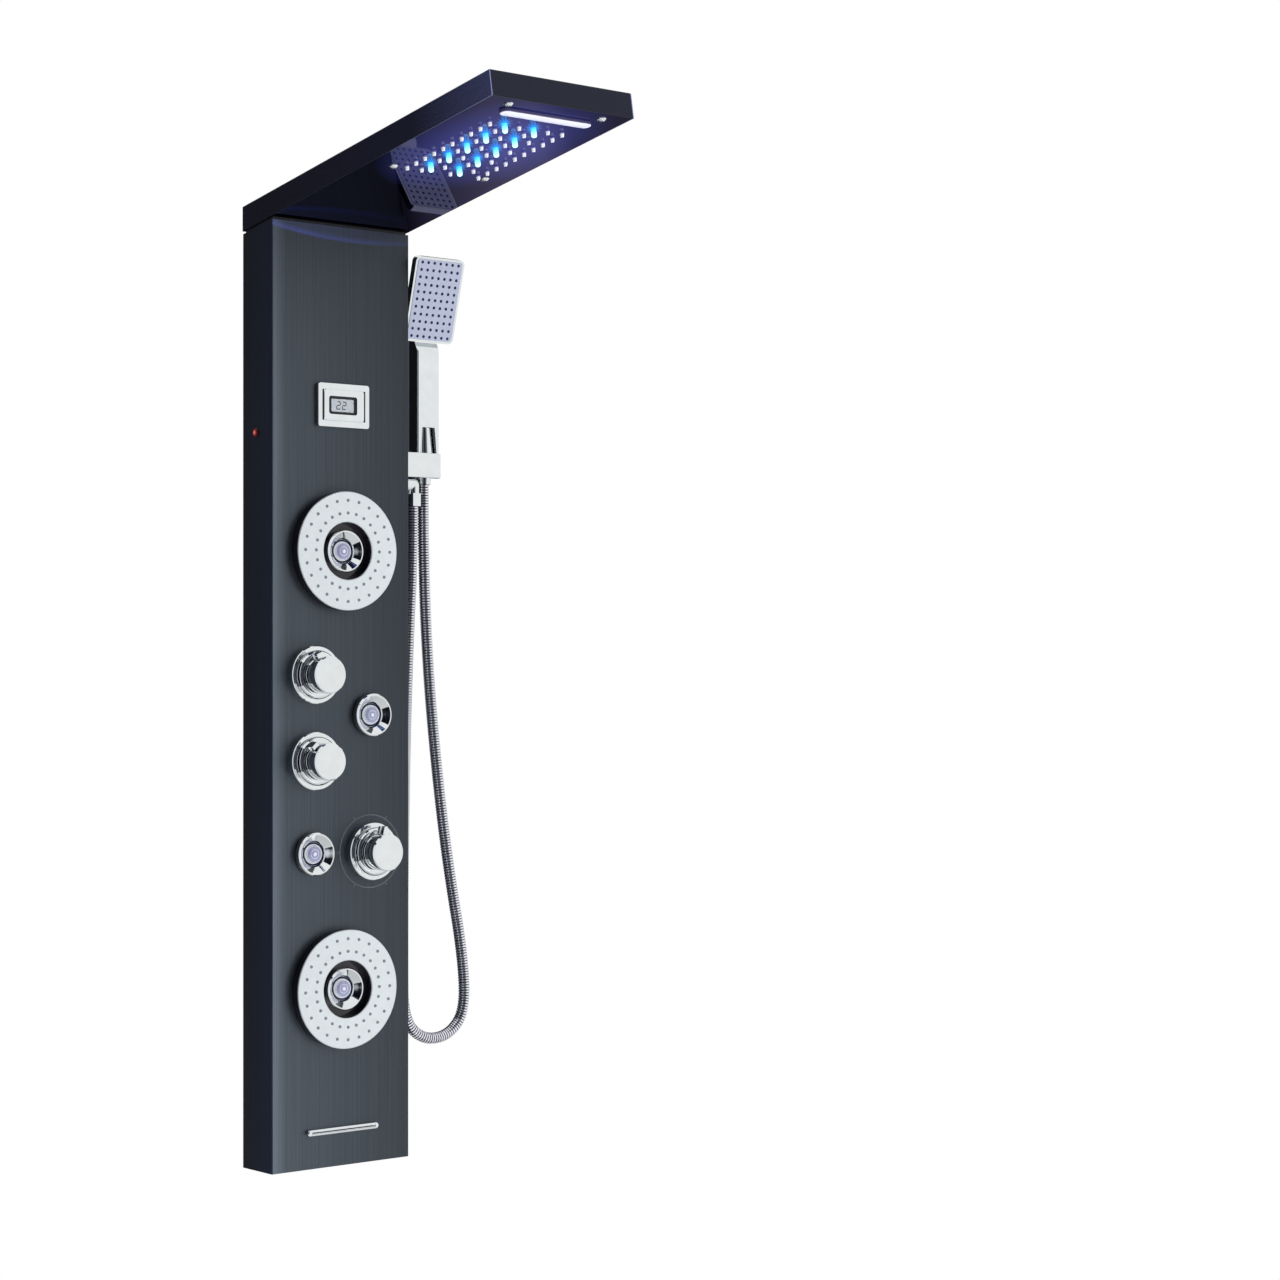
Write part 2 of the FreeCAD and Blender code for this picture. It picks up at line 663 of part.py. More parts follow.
def head_soffit():
    """Underside tray, set flush into the lid, with holes for all that passes through it."""
    half = INNER_HALF - SEAM
    front = SHEET + SEAM - HEAD_LENGTH
    beyond = HEAD_THICKNESS
    tray = block((-half, half), (front, beyond), (0, SOFFIT_FLANGE))
    hollow = block((SHEET - half, half - SHEET), (front + SHEET, beyond + 1), (SHEET, SOFFIT_FLANGE + 1))
    holes = []
    for x, along, lamp in spray_places():
        size = (LAMP_DIAMETER if lamp else NOZZLE_DIAMETER) + 2 * PLUG_CLEARANCE
        holes.append(rod(Vector(x, -along, -1), UP, size, SHEET + 2))
    for x, along in screw_places():
        size = SOFFIT_SCREW_SHANK + 2 * SCREW_CLEARANCE
        holes.append(rod(Vector(x, -along, -1), UP, size, SHEET + 2))
    slot = stadium(WATERFALL_NECK_WIDTH + 2 * SEAM, WATERFALL_NECK + 2 * SEAM, -1, SHEET + 1)
    slot.translate(Vector(0, -WATERFALL_ALONG, 0))
    holes.append(slot)
    soffit = in_head(tray.cut(hollow).cut(holes))
    return before_wall(soffit).cut(neck_opening())


def screw_places():
    """Places of the four domed screws as (x, distance from the wall)."""
    for side in (-1, 1):
        for along in (REAR_SCREW_ALONG, FRONT_SCREW_ALONG):
            yield side * SOFFIT_SCREW_X, along


def screw_ear(side, along, inner_half):
    """Lug with a screw hole at the side of a piece inside the overhead."""
    x = side * SOFFIT_SCREW_X
    limits = sorted((side * inner_half, x + side * EAR_WIDTH / 2))
    y_range = (-along - EAR_WIDTH / 2, EAR_WIDTH / 2 - along)
    lug = block(limits, y_range, (SHEET, SHEET + EAR_THICKNESS))
    hole = rod(Vector(x, -along, 0), UP, SOFFIT_SCREW_SHANK + 2 * THREAD_CLEARANCE, SHEET + EAR_THICKNESS + 1)
    return lug, hole


def rain_chamber():
    """Inverted tray over the rain field, with its inlet tail and two screw lugs."""
    top = SHEET + CHAMBER_HEIGHT
    wall = CHAMBER_WALL
    chamber = rounded_block(
        (-CHAMBER_HALF, CHAMBER_HALF), (-CHAMBER_FRONT, -CHAMBER_REAR), (SHEET, top), wall, UP)
    hollow = block(
        (wall - CHAMBER_HALF, CHAMBER_HALF - wall), (wall - CHAMBER_FRONT, -CHAMBER_REAR - wall),
        (0, top - wall))
    holes = [hollow]
    for side in (-1, 1):
        lug, hole = screw_ear(side, REAR_SCREW_ALONG, CHAMBER_HALF - wall)
        chamber = chamber.fuse(lug)
        holes.append(hole)
    start = Vector(RAIN_UPPER_LANE, -CHAMBER_REAR - wall, HEAD_TUBE_LIFT)
    chamber = chamber.fuse(rod(start, INWARDS, RAIN_TUBE, TAIL_LENGTH + wall))
    holes.append(rod(start - INWARDS, INWARDS, RAIN_TUBE - 4 * TUBE_WALL, TAIL_LENGTH + wall + 2))
    return in_head(chamber.cut(holes).removeSplitter())


def rain_nozzles():
    """Tapered nozzle plugs of the rain field."""
    rise = SHEET + NOZZLE_HEAD
    straight = rod(Vector(0, 0, 0), UP, NOZZLE_DIAMETER, rise)
    tip = Part.makeCone(NOZZLE_TIP / 2, NOZZLE_DIAMETER / 2, NOZZLE_HANG, Vector(0, 0, -NOZZLE_HANG))
    plug = straight.fuse(tip)
    return in_head(Part.Compound([
        plug.translated(Vector(x, -along, 0)) for x, along, lamp in spray_places() if not lamp]))


def lamp_lenses():
    """Bullet-shaped lamp lenses between the nozzles."""
    lens = rod(Vector(0, 0, -LAMP_HANG), UP, LAMP_DIAMETER, LAMP_HANG + SHEET + NOZZLE_HEAD)
    lens = lens.makeFillet(LAMP_ROUND, rims_at(lens, -LAMP_HANG))
    return in_head(Part.Compound([
        lens.translated(Vector(x, -along, 0)) for x, along, lamp in spray_places() if lamp]))


def lamp_strips():
    """Potted strips that light the two rows of lenses."""
    bottom = SHEET + NOZZLE_HEAD
    strips = []
    for column in LAMP_COLUMNS:
        x = (column - (FIELD_COLUMNS - 1) / 2) * COLUMN_PITCH
        half = LAMP_STRIP_WIDTH / 2
        strips.append(block(
            (x - half, x + half), (-FIELD_FRONT - half, half - FIELD_REAR),
            (bottom, bottom + LAMP_STRIP_THICKNESS)))
    return in_head(Part.Compound(strips))


def soffit_screws():
    """Domed screws that hold the chamber and the waterfall spout to the underside."""
    rim = SOFFIT_SCREW_HEAD / 2
    ball = (rim ** 2 + SOFFIT_SCREW_DOME ** 2) / (2 * SOFFIT_SCREW_DOME)
    cap = Part.makeSphere(ball, Vector(0, 0, ball - SOFFIT_SCREW_DOME))
    head = cap.common(block((-rim, rim), (-rim, rim), (-SOFFIT_SCREW_DOME, 0)))
    screw = head.fuse(rod(Vector(), UP, SOFFIT_SCREW_SHANK, SHEET + EAR_THICKNESS))
    return in_head(Part.Compound([
        screw.translated(Vector(x, -along, 0)) for x, along in screw_places()]))


def waterfall_spout():
    """Waterfall outlet: bezel below the underside, body above it, inlet box at the right."""
    half_depth = WATERFALL_BODY_DEPTH / 2
    half_width = WATERFALL_NECK_WIDTH / 2 + WATERFALL_BODY_MARGIN
    top = SHEET + WATERFALL_BODY_HEIGHT
    bezel = stadium(WATERFALL_WIDTH, WATERFALL_BEZEL, -WATERFALL_HANG, 0)
    rim = [edge for edge in bezel.Edges if edge.BoundBox.ZMax < -WATERFALL_HANG / 2]
    bezel = bezel.makeFillet(WATERFALL_HANG / 2, rim)
    neck = stadium(WATERFALL_NECK_WIDTH, WATERFALL_NECK, 0, SHEET)
    body = block((-half_width, half_width), (-half_depth, half_depth), (SHEET, top))
    inlet_half = SERVICE_TUBE / 2 + LANE_GAP / 2
    inlet = block(
        (half_width, WATERFALL_HEAD_LANE + inlet_half), (-half_depth, half_depth), (SHEET, top))
    tail = rod(
        Vector(WATERFALL_HEAD_LANE, half_depth, HEAD_TUBE_LIFT), INWARDS, SERVICE_TUBE, TAIL_LENGTH)
    spout = bezel.fuse([neck, body, inlet, tail])
    spout = spout.cut(stadium(
        WATERFALL_SLOT_WIDTH, WATERFALL_SLOT, -WATERFALL_HANG - 1, WATERFALL_BODY_HEIGHT - CHAMBER_WALL))
    spout.translate(Vector(0, -WATERFALL_ALONG, 0))
    for side in (-1, 1):
        lug, hole = screw_ear(side, FRONT_SCREW_ALONG, half_width - EAR_WIDTH)
        spout = spout.fuse(lug).cut(hole)
    return in_head(spout.removeSplitter())


# Spray discs and jets
def disc_body():
    """Shallow cup with a collar round the jet."""
    outer = DISC_DIAMETER / 2
    collar = DISC_HOLE / 2
    stem = JET_STEM_DIAMETER / 2 + THREAD_CLEARANCE
    lip = DISC_HEIGHT - DISC_FACE
    return turned([
        (stem, 0), (outer - DISC_EDGE, 0), (outer, DISC_EDGE), (outer, lip), (outer - DISC_WALL, lip),
        (outer - DISC_WALL, DISC_SEAT), (collar + DISC_WALL, DISC_SEAT), (collar + DISC_WALL, lip),
        (collar, lip), (collar, DISC_SEAT), (stem, DISC_SEAT)])


def disc_face():
    """Ring plate with two rings of spray holes."""
    outer = DISC_DIAMETER / 2
    collar = DISC_HOLE / 2
    lip = DISC_HEIGHT - DISC_FACE
    face = turned([
        (collar, lip), (outer, lip), (outer, DISC_HEIGHT - DISC_EDGE), (outer - DISC_EDGE, DISC_HEIGHT),
        (collar + DISC_EDGE, DISC_HEIGHT), (collar, DISC_HEIGHT - DISC_EDGE)])
    pit = Part.makeCone(0, DOT_DIAMETER / 2, DOT_DEPTH, Vector(0, 0, DISC_HEIGHT - DOT_DEPTH))
    pits = []
    for ring in (DOT_RING_OUTER, DOT_RING_INNER):
        for dot in range(DISC_DOTS):
            angle = 2 * math.pi * dot / DISC_DOTS
            place = Vector(ring / 2 * math.cos(angle), ring / 2 * math.sin(angle), 0)
            pits.append(pit.translated(place))
    return face.cut(pits)


def jet_cup():
    """Dished cup with a ball socket, a threaded stem and a closed tail at the rear layer."""
    rim = JET_DIAMETER / 2
    stem = JET_STEM_DIAMETER / 2
    tail = JET_TAIL_DIAMETER / 2
    dish = JET_DISH_DIAMETER / 2
    lip = JET_LIP - JET_BALL_DROP
    stem_end = JET_SEAT_Y + REAR_LAYER + tail + TAIL_LENGTH
    tail_end = JET_SEAT_Y + REAR_LAYER - tail
    cup = turned([
        (0, tail_end), (tail, tail_end), (tail, stem_end), (stem, stem_end), (stem, 0), (rim, 0),
        (rim, JET_RISE - JET_EDGE), (rim - JET_EDGE, JET_RISE), (rim - JET_EDGE - JET_RIM, JET_RISE),
        (JET_THROAT_DIAMETER / 2, lip + JET_THROAT_RISE), (dish, lip), (0, lip)])
    socket = Part.makeSphere(BALL_DIAMETER / 2 + BALL_CLEARANCE, Vector(0, 0, -JET_BALL_DROP))
    waterway = rod(Vector(0, 0, tail_end + TUBE_WALL), UP, JET_WATERWAY, -tail_end)
    return cup.cut([socket, waterway])


def jet_cups():
    """The four cups on their seats."""
    return Part.Compound([on_front(jet_cup(), x, height, DISC_SEAT) for x, height in JETS.values()])


def jet_back_nuts():
    """Hexagonal nuts behind the sheet, one on each jet's stem."""
    top = -DISC_SEAT - SHEET
    nut = hexagon(JET_NUT_FLATS, top - JET_NUT_THICKNESS, top)
    nut = nut.cut(rod(Vector(0, 0, -PANEL_DEPTH), UP, JET_STEM_DIAMETER + 2 * THREAD_CLEARANCE, PANEL_DEPTH))
    return Part.Compound([on_front(nut, x, height, DISC_SEAT) for x, height in JETS.values()])


def jet_gaskets():
    """Seal rings under the two single jets."""
    inner = JET_STEM_DIAMETER / 2 + THREAD_CLEARANCE
    outer = JET_DIAMETER / 2 - JET_EDGE
    ring = turned([(inner, 0), (outer, 0), (outer, DISC_SEAT), (inner, DISC_SEAT)])
    return Part.Compound([on_front(ring, *JETS[side]) for side in ("right", "left")])


def jet_ball():
    """Ball with a flat front that holds the lens, bored from behind."""
    ball = Part.makeSphere(BALL_DIAMETER / 2)
    reach = BALL_DIAMETER
    ball = ball.common(block((-reach, reach), (-reach, reach), (-BALL_REAR, BALL_FRONT)))
    seat = rod(Vector(0, 0, BALL_FRONT - LENS_SEAT), UP, LENS_DIAMETER + 2 * LENS_CLEARANCE, reach)
    bore = rod(Vector(0, 0, -reach), UP, BALL_BORE, reach)
    return ball.cut([seat, bore])


def jet_nozzle():
    """Domed lens seated in the ball's front."""
    rim = LENS_DIAMETER / 2
    ball = (rim ** 2 + LENS_DOME ** 2) / (2 * LENS_DOME)
    base = BALL_FRONT - LENS_SEAT
    body = rod(Vector(0, 0, base), UP, LENS_DIAMETER, LENS_SEAT + LENS_DOME)
    dome = Part.makeSphere(ball, Vector(0, 0, BALL_FRONT + LENS_DOME - ball))
    return body.common(dome)


# Knobs and valves
def knob(pointer):
    """Turned knob with a finger tab, tapered to a pointer on the diverter."""
    radius = KNOB_DIAMETER / 2
    end = KNOB_START + KNOB_LENGTH
    body = turned([
        (0, KNOB_START), (radius - KNOB_EDGE, KNOB_START), (radius, KNOB_START + KNOB_EDGE),
        (radius, end - KNOB_EDGE), (radius - KNOB_EDGE, end), (0, end)])
    half = TAB_WIDTH / 2
    tip = POINTER_TIP / 2 if pointer else half
    reach = radius + (POINTER_REACH if pointer else TAB_REACH)
    tab = prism(
        [Vector(-half, 0, 0), Vector(half, 0, 0), Vector(half, radius, 0), Vector(tip, reach, 0),
         Vector(-tip, reach, 0), Vector(-half, radius, 0)],
        Vector(0, 0, KNOB_START + TAB_START), UP * TAB_LENGTH)
    socket = rod(Vector(0, 0, 0), UP, SPINDLE_DIAMETER, KNOB_START + KNOB_SOCKET)
    return body.fuse(tab).cut(socket).removeSplitter()


def spindle():
    """Cartridge spindle, from the knob's socket back into the cartridge."""
    start = -SPINDLE_DEPTH
    return rod(Vector(0, 0, start), UP, SPINDLE_DIAMETER, KNOB_START + KNOB_SOCKET - start)


def knob_flange():
    """Wall flange with a flat rim, a round-shouldered hub and a neck, hollow over the ring nut."""
    rim = FLANGE_DIAMETER / 2
    hub = FLANGE_HUB / 2
    neck = FLANGE_NECK / 2
    neck_end = KNOB_START - KNOB_GAP
    thread = CARTRIDGE_DIAMETER / 2 + THREAD_CLEARANCE
    way = SPINDLE_DIAMETER / 2 + FLANGE_SPINDLE_GAP
    thread_end = CARTRIDGE_PROUD + KNOB_GAP
    flange = turned([
        (FLANGE_HOLLOW / 2, 0), (rim, 0), (rim, FLANGE_RIM - DISC_EDGE), (rim - DISC_EDGE, FLANGE_RIM),
        (hub, FLANGE_RIM), (hub, FLANGE_TOP), (neck, FLANGE_TOP), (neck, neck_end), (way, neck_end),
        (way, thread_end), (thread, thread_end), (thread, FLANGE_HOLLOW_DEPTH),
        (FLANGE_HOLLOW / 2, FLANGE_HOLLOW_DEPTH)])
    shoulder = [edge for edge in rims_at(flange, FLANGE_TOP) if edge.BoundBox.XLength > FLANGE_NECK + 1]
    return flange.makeFillet(FLANGE_HUB_ROUND, shoulder)


def cartridge():
    """Valve cartridge through the sheet, bored for its spindle."""
    start = -CARTRIDGE_SEAT_DEPTH
    body = rod(Vector(0, 0, start), UP, CARTRIDGE_DIAMETER, CARTRIDGE_PROUD - start)
    bore = rod(
        Vector(0, 0, -SPINDLE_DEPTH - SPINDLE_CLEARANCE), UP,
        SPINDLE_DIAMETER + 2 * SPINDLE_CLEARANCE, PANEL_DEPTH)
    return body.cut(bore)


def ring_nut():
    """Hexagonal nut in front of the sheet, under the flange."""
    nut = hexagon(RING_NUT_FLATS, 0, RING_NUT_THICKNESS)
    thread = CARTRIDGE_DIAMETER + 2 * THREAD_CLEARANCE
    return nut.cut(rod(Vector(0, 0, -1), UP, thread, RING_NUT_THICKNESS + 2))


def cartridge_boss(x, height):
    """Boss from a valve's barrel to the sheet, and the seat bored into it."""
    depth = -FRONT_LAYER - INNER_FRONT
    boss = rod(Vector(x, INNER_FRONT, height), INWARDS, BOSS_DIAMETER, depth)
    seat = rod(
        Vector(x, INNER_FRONT - 1, height), INWARDS, CARTRIDGE_DIAMETER + 2 * THREAD_CLEARANCE,
        CARTRIDGE_SEAT_DEPTH - SHEET + 1 + THREAD_CLEARANCE)
    return boss, seat


def valve_body():
    """Upright barrel with the hot and cold bosses, an inlet behind each and the mixed outlet."""
    axis = Vector(-COLUMN_X, -FRONT_LAYER, 0)
    low = COLD_HEIGHT - BARREL_END
    middle = (HOT_HEIGHT + COLD_HEIGHT) / 2
    shoulder_end = BARREL_DIAMETER / 2 + INLET_SHOULDER_PROUD
    inlet_end = shoulder_end + INLET_LENGTH
    barrel = rod(axis + UP * low, UP, BARREL_DIAMETER, HOT_HEIGHT + BARREL_END - low)
    limbs = [rod(axis + UP * middle, ACROSS, MIXED_TUBE, BARREL_DIAMETER / 2 + MIXED_STUB)]
    bores = [
        rod(axis + UP * COLD_HEIGHT, UP, GALLERY_BORE, HOT_HEIGHT - COLD_HEIGHT),
        rod(axis + UP * middle, ACROSS, GALLERY_BORE, BARREL_DIAMETER)]
    for height in (HOT_HEIGHT, COLD_HEIGHT):
        boss, seat = cartridge_boss(-COLUMN_X, height)
        centre = axis + UP * height
        limbs.append(boss)
        limbs.append(rod(centre, INWARDS, INLET_SHOULDER, shoulder_end))
        limbs.append(rod(centre, INWARDS, INLET_DIAMETER, inlet_end))
        bores.append(seat)
        bores.append(rod(centre, INWARDS, INLET_BORE, inlet_end + 1))
    return barrel.fuse(limbs).cut(bores).removeSplitter()


def diverter_body():
    """Short barrel across the panel's depth; the tubes meet it all round."""
    boss, seat = cartridge_boss(COLUMN_X, DIVERTER_HEIGHT)
    return diverter_barrel(DIVERTER_DIAMETER).fuse(boss).cut(seat).removeSplitter()


def diverter_barrel(diameter):
    """Round body of the diverter."""
    start = Vector(COLUMN_X, -DIVERTER_FRONT, DIVERTER_HEIGHT)
    return rod(start, INWARDS, diameter, DIVERTER_FRONT - DIVERTER_BACK)


def diverter_keepout():
    """Diverter barrel with the gap that the tubes' ends keep from it."""
    return diverter_barrel(DIVERTER_DIAMETER + 2 * TUBE_END_GAP)


# Tubes
def layer_point(x, height, layer):
    """Point in one of the tube layers."""
    return Vector(x, -layer, height)


def mixed_tube():
    """From the valve body's outlet across and down to the diverter."""
    start = BARREL_DIAMETER / 2 + MIXED_STUB + TUBE_END_GAP - COLUMN_X
    middle = (HOT_HEIGHT + COLD_HEIGHT) / 2
    path = [
        layer_point(start, middle, FRONT_LAYER), layer_point(MIXED_LANE, middle, FRONT_LAYER),
        layer_point(MIXED_LANE, DIVERTER_HEIGHT, FRONT_LAYER),
        layer_point(COLUMN_X, DIVERTER_HEIGHT, FRONT_LAYER)]
    bend = min(BEND_RADIUS, MIXED_LANE - start - TUBE_END_GAP)
    tube = pipe(path, MIXED_TUBE, bend).cut(pipe(path, MIXED_TUBE - 2 * TUBE_WALL, bend))
    return tube.cut(diverter_keepout())


def head_corner(lane):
    """Where an upright tube would meet the line of the tubes in the overhead."""
    rise = HEAD_TUBE_LIFT / math.cos(TILT) + FRONT_LAYER * math.tan(TILT)
    return layer_point(lane, NECK_LEVEL + rise, FRONT_LAYER)


def rain_tube():
    """From the diverter up to the generator, and from there to the rain chamber."""
    port = COLUMN_X - RAIN_PORT_OFFSET
    rise = DIVERTER_HEIGHT + DIVERTER_DIAMETER / 2 + PORT_RISE
    change = UPPER_DISC_HEIGHT - JET_STEM_DIAMETER - 2 * LANE_CHANGE
    half = GENERATOR_LENGTH / 2 + GENERATOR_NECK_LENGTH + TUBE_END_GAP
    lower = [
        layer_point(port, DIVERTER_HEIGHT, FRONT_LAYER), layer_point(port, rise, FRONT_LAYER),
        layer_point(RAIN_LANE, rise + LANE_CHANGE, FRONT_LAYER), layer_point(RAIN_LANE, change, FRONT_LAYER),
        layer_point(RAIN_UPPER_LANE, change + LANE_CHANGE, FRONT_LAYER),
        layer_point(RAIN_UPPER_LANE, GENERATOR_HEIGHT - half, FRONT_LAYER)]
    end = CHAMBER_REAR - TAIL_LENGTH - TUBE_END_GAP
    upper = [
        layer_point(RAIN_UPPER_LANE, GENERATOR_HEIGHT + half, FRONT_LAYER), head_corner(RAIN_UPPER_LANE),
        head_point(RAIN_UPPER_LANE, end, HEAD_TUBE_LIFT)]
    riser = hollow_pipe(lower, RAIN_TUBE).cut(diverter_keepout())
    return Part.Compound([riser, hollow_pipe(upper, RAIN_TUBE)])


def waterfall_tube():
    """From the diverter up the right side and along the overhead to the waterfall spout."""
    port = COLUMN_X + WATERFALL_PORT_OFFSET
    rise = DIVERTER_HEIGHT + DIVERTER_DIAMETER / 2 + PORT_RISE
    change = HOLDER_TOP + LANE_CHANGE / 2
    end = WATERFALL_ALONG - WATERFALL_BODY_DEPTH / 2 - TAIL_LENGTH - TUBE_END_GAP
    path = [
        layer_point(port, DIVERTER_HEIGHT, FRONT_LAYER), layer_point(port, rise, FRONT_LAYER),
        layer_point(WATERFALL_LANE, rise + LANE_CHANGE, FRONT_LAYER),
        layer_point(WATERFALL_LANE, change, FRONT_LAYER),
        layer_point(WATERFALL_HEAD_LANE, change + LANE_CHANGE, FRONT_LAYER),
        head_corner(WATERFALL_HEAD_LANE), head_point(WATERFALL_HEAD_LANE, end, HEAD_TUBE_LIFT)]
    return hollow_pipe(path, SERVICE_TUBE).cut(diverter_keepout())


def jet_tubes():
    """Links in the rear layer: diverter to the right and left jets, and on to the two discs."""
    hub = (COLUMN_X, DIVERTER_HEIGHT)
    links = [(hub, JETS["right"]), (hub, JETS["left"]), (JETS["right"], JETS["upper"]),
             (JETS["left"], JETS["lower"])]
    keepout = [diverter_keepout()]
    for x, height in JETS.values():
        start = Vector(x, -REAR_LAYER - JET_TAIL_DIAMETER, height)
        keepout.append(rod(start, INWARDS, JET_TAIL_DIAMETER + 2 * TUBE_END_GAP, 2 * JET_TAIL_DIAMETER))
    tubes = []
    for first, last in links:
        start = layer_point(*first, REAR_LAYER)
        run = layer_point(*last, REAR_LAYER) - start
        bore = rod(start, run, SERVICE_TUBE - 2 * TUBE_WALL, run.Length)
        tubes.append(rod(start, run, SERVICE_TUBE, run.Length).cut([bore] + keepout))
    return Part.Compound(tubes)


def handset_tube():
    """From the diverter up the right side to the hose outlet."""
    end = OUTLET_HEIGHT - OUTLET_DIAMETER / 2 - TAIL_LENGTH - TUBE_END_GAP
    path = [
        layer_point(COLUMN_X, DIVERTER_HEIGHT, FRONT_LAYER),
        layer_point(HANDSET_LANE, DIVERTER_HEIGHT, FRONT_LAYER),
        layer_point(HANDSET_LANE, end - LANE_CHANGE, FRONT_LAYER),
        Vector(HANDSET_LANE, OUTLET_Y, end - LANE_CHANGE / 2),
        Vector(HANDSET_LANE, OUTLET_Y, end)]
    bend = min(BEND_RADIUS, HANDSET_LANE - COLUMN_X - DIVERTER_DIAMETER / 2 - TUBE_END_GAP)
    tube = pipe(path, SERVICE_TUBE, bend).cut(pipe(path, SERVICE_TUBE - 2 * TUBE_WALL, bend))
    return tube.cut(diverter_keepout())


def spout_tube():
    """From the diverter down to the bath spout."""
    inlet_y = INNER_FRONT + SPOUT_BODY_DEPTH / 2
    top = SPOUT_HEIGHT + SPOUT_BODY_TALL / 2 + TAIL_LENGTH + TUBE_END_GAP
    path = [
        layer_point(COLUMN_X, DIVERTER_HEIGHT, FRONT_LAYER),
        layer_point(COLUMN_X, top + 2 * LANE_CHANGE, FRONT_LAYER),
        Vector(COLUMN_X, inlet_y, top + LANE_CHANGE),
        Vector(COLUMN_X, inlet_y, top)]
    return hollow_pipe(path, SERVICE_TUBE).cut(diverter_keepout())


def hydro_generator():
    """Closed turbine housing in the rain riser."""
    half = GENERATOR_LENGTH / 2
    body = GENERATOR_DIAMETER / 2
    neck = GENERATOR_NECK / 2
    end = half + GENERATOR_NECK_LENGTH
    housing = turned([
        (0, -end), (neck, -end), (neck, -half), (body - DISC_WALL, -half), (body, DISC_WALL - half),
        (body, half - DISC_WALL), (body - DISC_WALL, half), (neck, half), (neck, end), (0, end)])
    return housing.translated(layer_point(RAIN_UPPER_LANE, GENERATOR_HEIGHT, FRONT_LAYER))


# Display, pilot lamp and bath spout
def centred_plate(width, tall, corner, bottom, top):
    """Plate with rounded corners, drawn face up."""
    return rounded_block((-width / 2, width / 2), (-tall / 2, tall / 2), (bottom, top), corner, UP)


def display_bezel():
    """Bezel plate with a window, two upright grooves and a shallow ledge between their feet."""
    bezel = centred_plate(DISPLAY_WIDTH, DISPLAY_TALL, DISPLAY_CORNER, 0, DISPLAY_THICKNESS)
    rim = [edge for edge in bezel.Edges if edge.BoundBox.ZMin > DISPLAY_THICKNESS - DISC_EDGE]
    bezel = bezel.makeFillet(DISC_EDGE, rim)
    cuts = [centred_plate(WINDOW_WIDTH, WINDOW_TALL, WINDOW_CORNER, -1, DISPLAY_THICKNESS + 1)]
    for side in (-1, 1):
        groove = stadium(GROOVE_TALL, GROOVE_WIDTH, DISPLAY_THICKNESS - GROOVE_DEPTH, DISPLAY_THICKNESS + 1)
        cuts.append(placed(groove, Placement(Vector(side * GROOVE_OFFSET, 0, 0), Rotation(UP, 90))))
    ledge_low = -GROOVE_TALL / 2 + GROOVE_WIDTH / 2
    cuts.append(block(
        (-GROOVE_OFFSET, GROOVE_OFFSET), (ledge_low, ledge_low + LEDGE_WIDTH),
        (DISPLAY_THICKNESS - LEDGE_DEPTH, DISPLAY_THICKNESS + 1)))
    return on_front(bezel.cut(cuts), 0, DISPLAY_HEIGHT)


def display_window():
    """Clear window in the bezel, standing on the module."""
    width = WINDOW_WIDTH - 2 * WINDOW_CLEARANCE
    tall = WINDOW_TALL - 2 * WINDOW_CLEARANCE
    pane = centred_plate(width, tall, WINDOW_CORNER, 0, DISPLAY_THICKNESS - WINDOW_RECESS)
    return on_front(pane, 0, DISPLAY_HEIGHT)


def display_module():
    """Sealed display housing in the sheet's cut-out."""
    box = centred_plate(MODULE_WIDTH, MODULE_TALL, WINDOW_CORNER, -MODULE_DEPTH, 0)
    return on_front(box, 0, DISPLAY_HEIGHT)


def pilot_lamp():
    """Small lamp with a collar on the left side."""
    collar = PILOT_COLLAR / 2
    ball = (collar ** 2 + PILOT_DOME ** 2) / (2 * PILOT_DOME)
    stem = rod(Vector(0, 0, -PILOT_LENGTH), UP, PILOT_DIAMETER, PILOT_LENGTH)
    rim = rod(Vector(), UP, PILOT_COLLAR, PILOT_COLLAR_HEIGHT + PILOT_DOME)
    dome = Part.makeSphere(ball, Vector(0, 0, PILOT_COLLAR_HEIGHT + PILOT_DOME - ball))
    lamp = rim.common(dome).fuse(stem)
    place = Vector(-HALF_WIDTH, -PILOT_FROM_WALL, PILOT_HEIGHT)
    return placed(lamp, Placement(place, Rotation(INWARDS, -90)))


def bath_spout():
    """Slot outlet near the foot of the panel, with its body behind the sheet."""
    bezel = stadium(SPOUT_WIDTH, SPOUT_TALL, 0, SPOUT_PROUD)
    rim = [edge for edge in bezel.Edges if edge.BoundBox.ZMin > SPOUT_PROUD / 2]
    bezel = bezel.makeFillet(SPOUT_TALL / 4, rim)
    neck = stadium(SPOUT_NECK_WIDTH, SPOUT_NECK, -SHEET, 0)
    half = SPOUT_NECK_WIDTH / 2 + SPOUT_BODY_MARGIN
    body = block(
        (-half, half), (-SPOUT_BODY_TALL / 2, SPOUT_BODY_TALL / 2), (-SHEET - SPOUT_BODY_DEPTH, -SHEET))
    tail = rod(
        Vector(COLUMN_X, SPOUT_BODY_TALL / 2, -SHEET - SPOUT_BODY_DEPTH / 2), INWARDS,
        SERVICE_TUBE, TAIL_LENGTH)
    slot = stadium(SPOUT_SLOT_WIDTH, SPOUT_SLOT, -SPOUT_BODY_DEPTH, SPOUT_PROUD + 1)
    spout = bezel.fuse([neck, body, tail]).cut(slot)
    return on_front(spout.removeSplitter(), 0, SPOUT_HEIGHT)


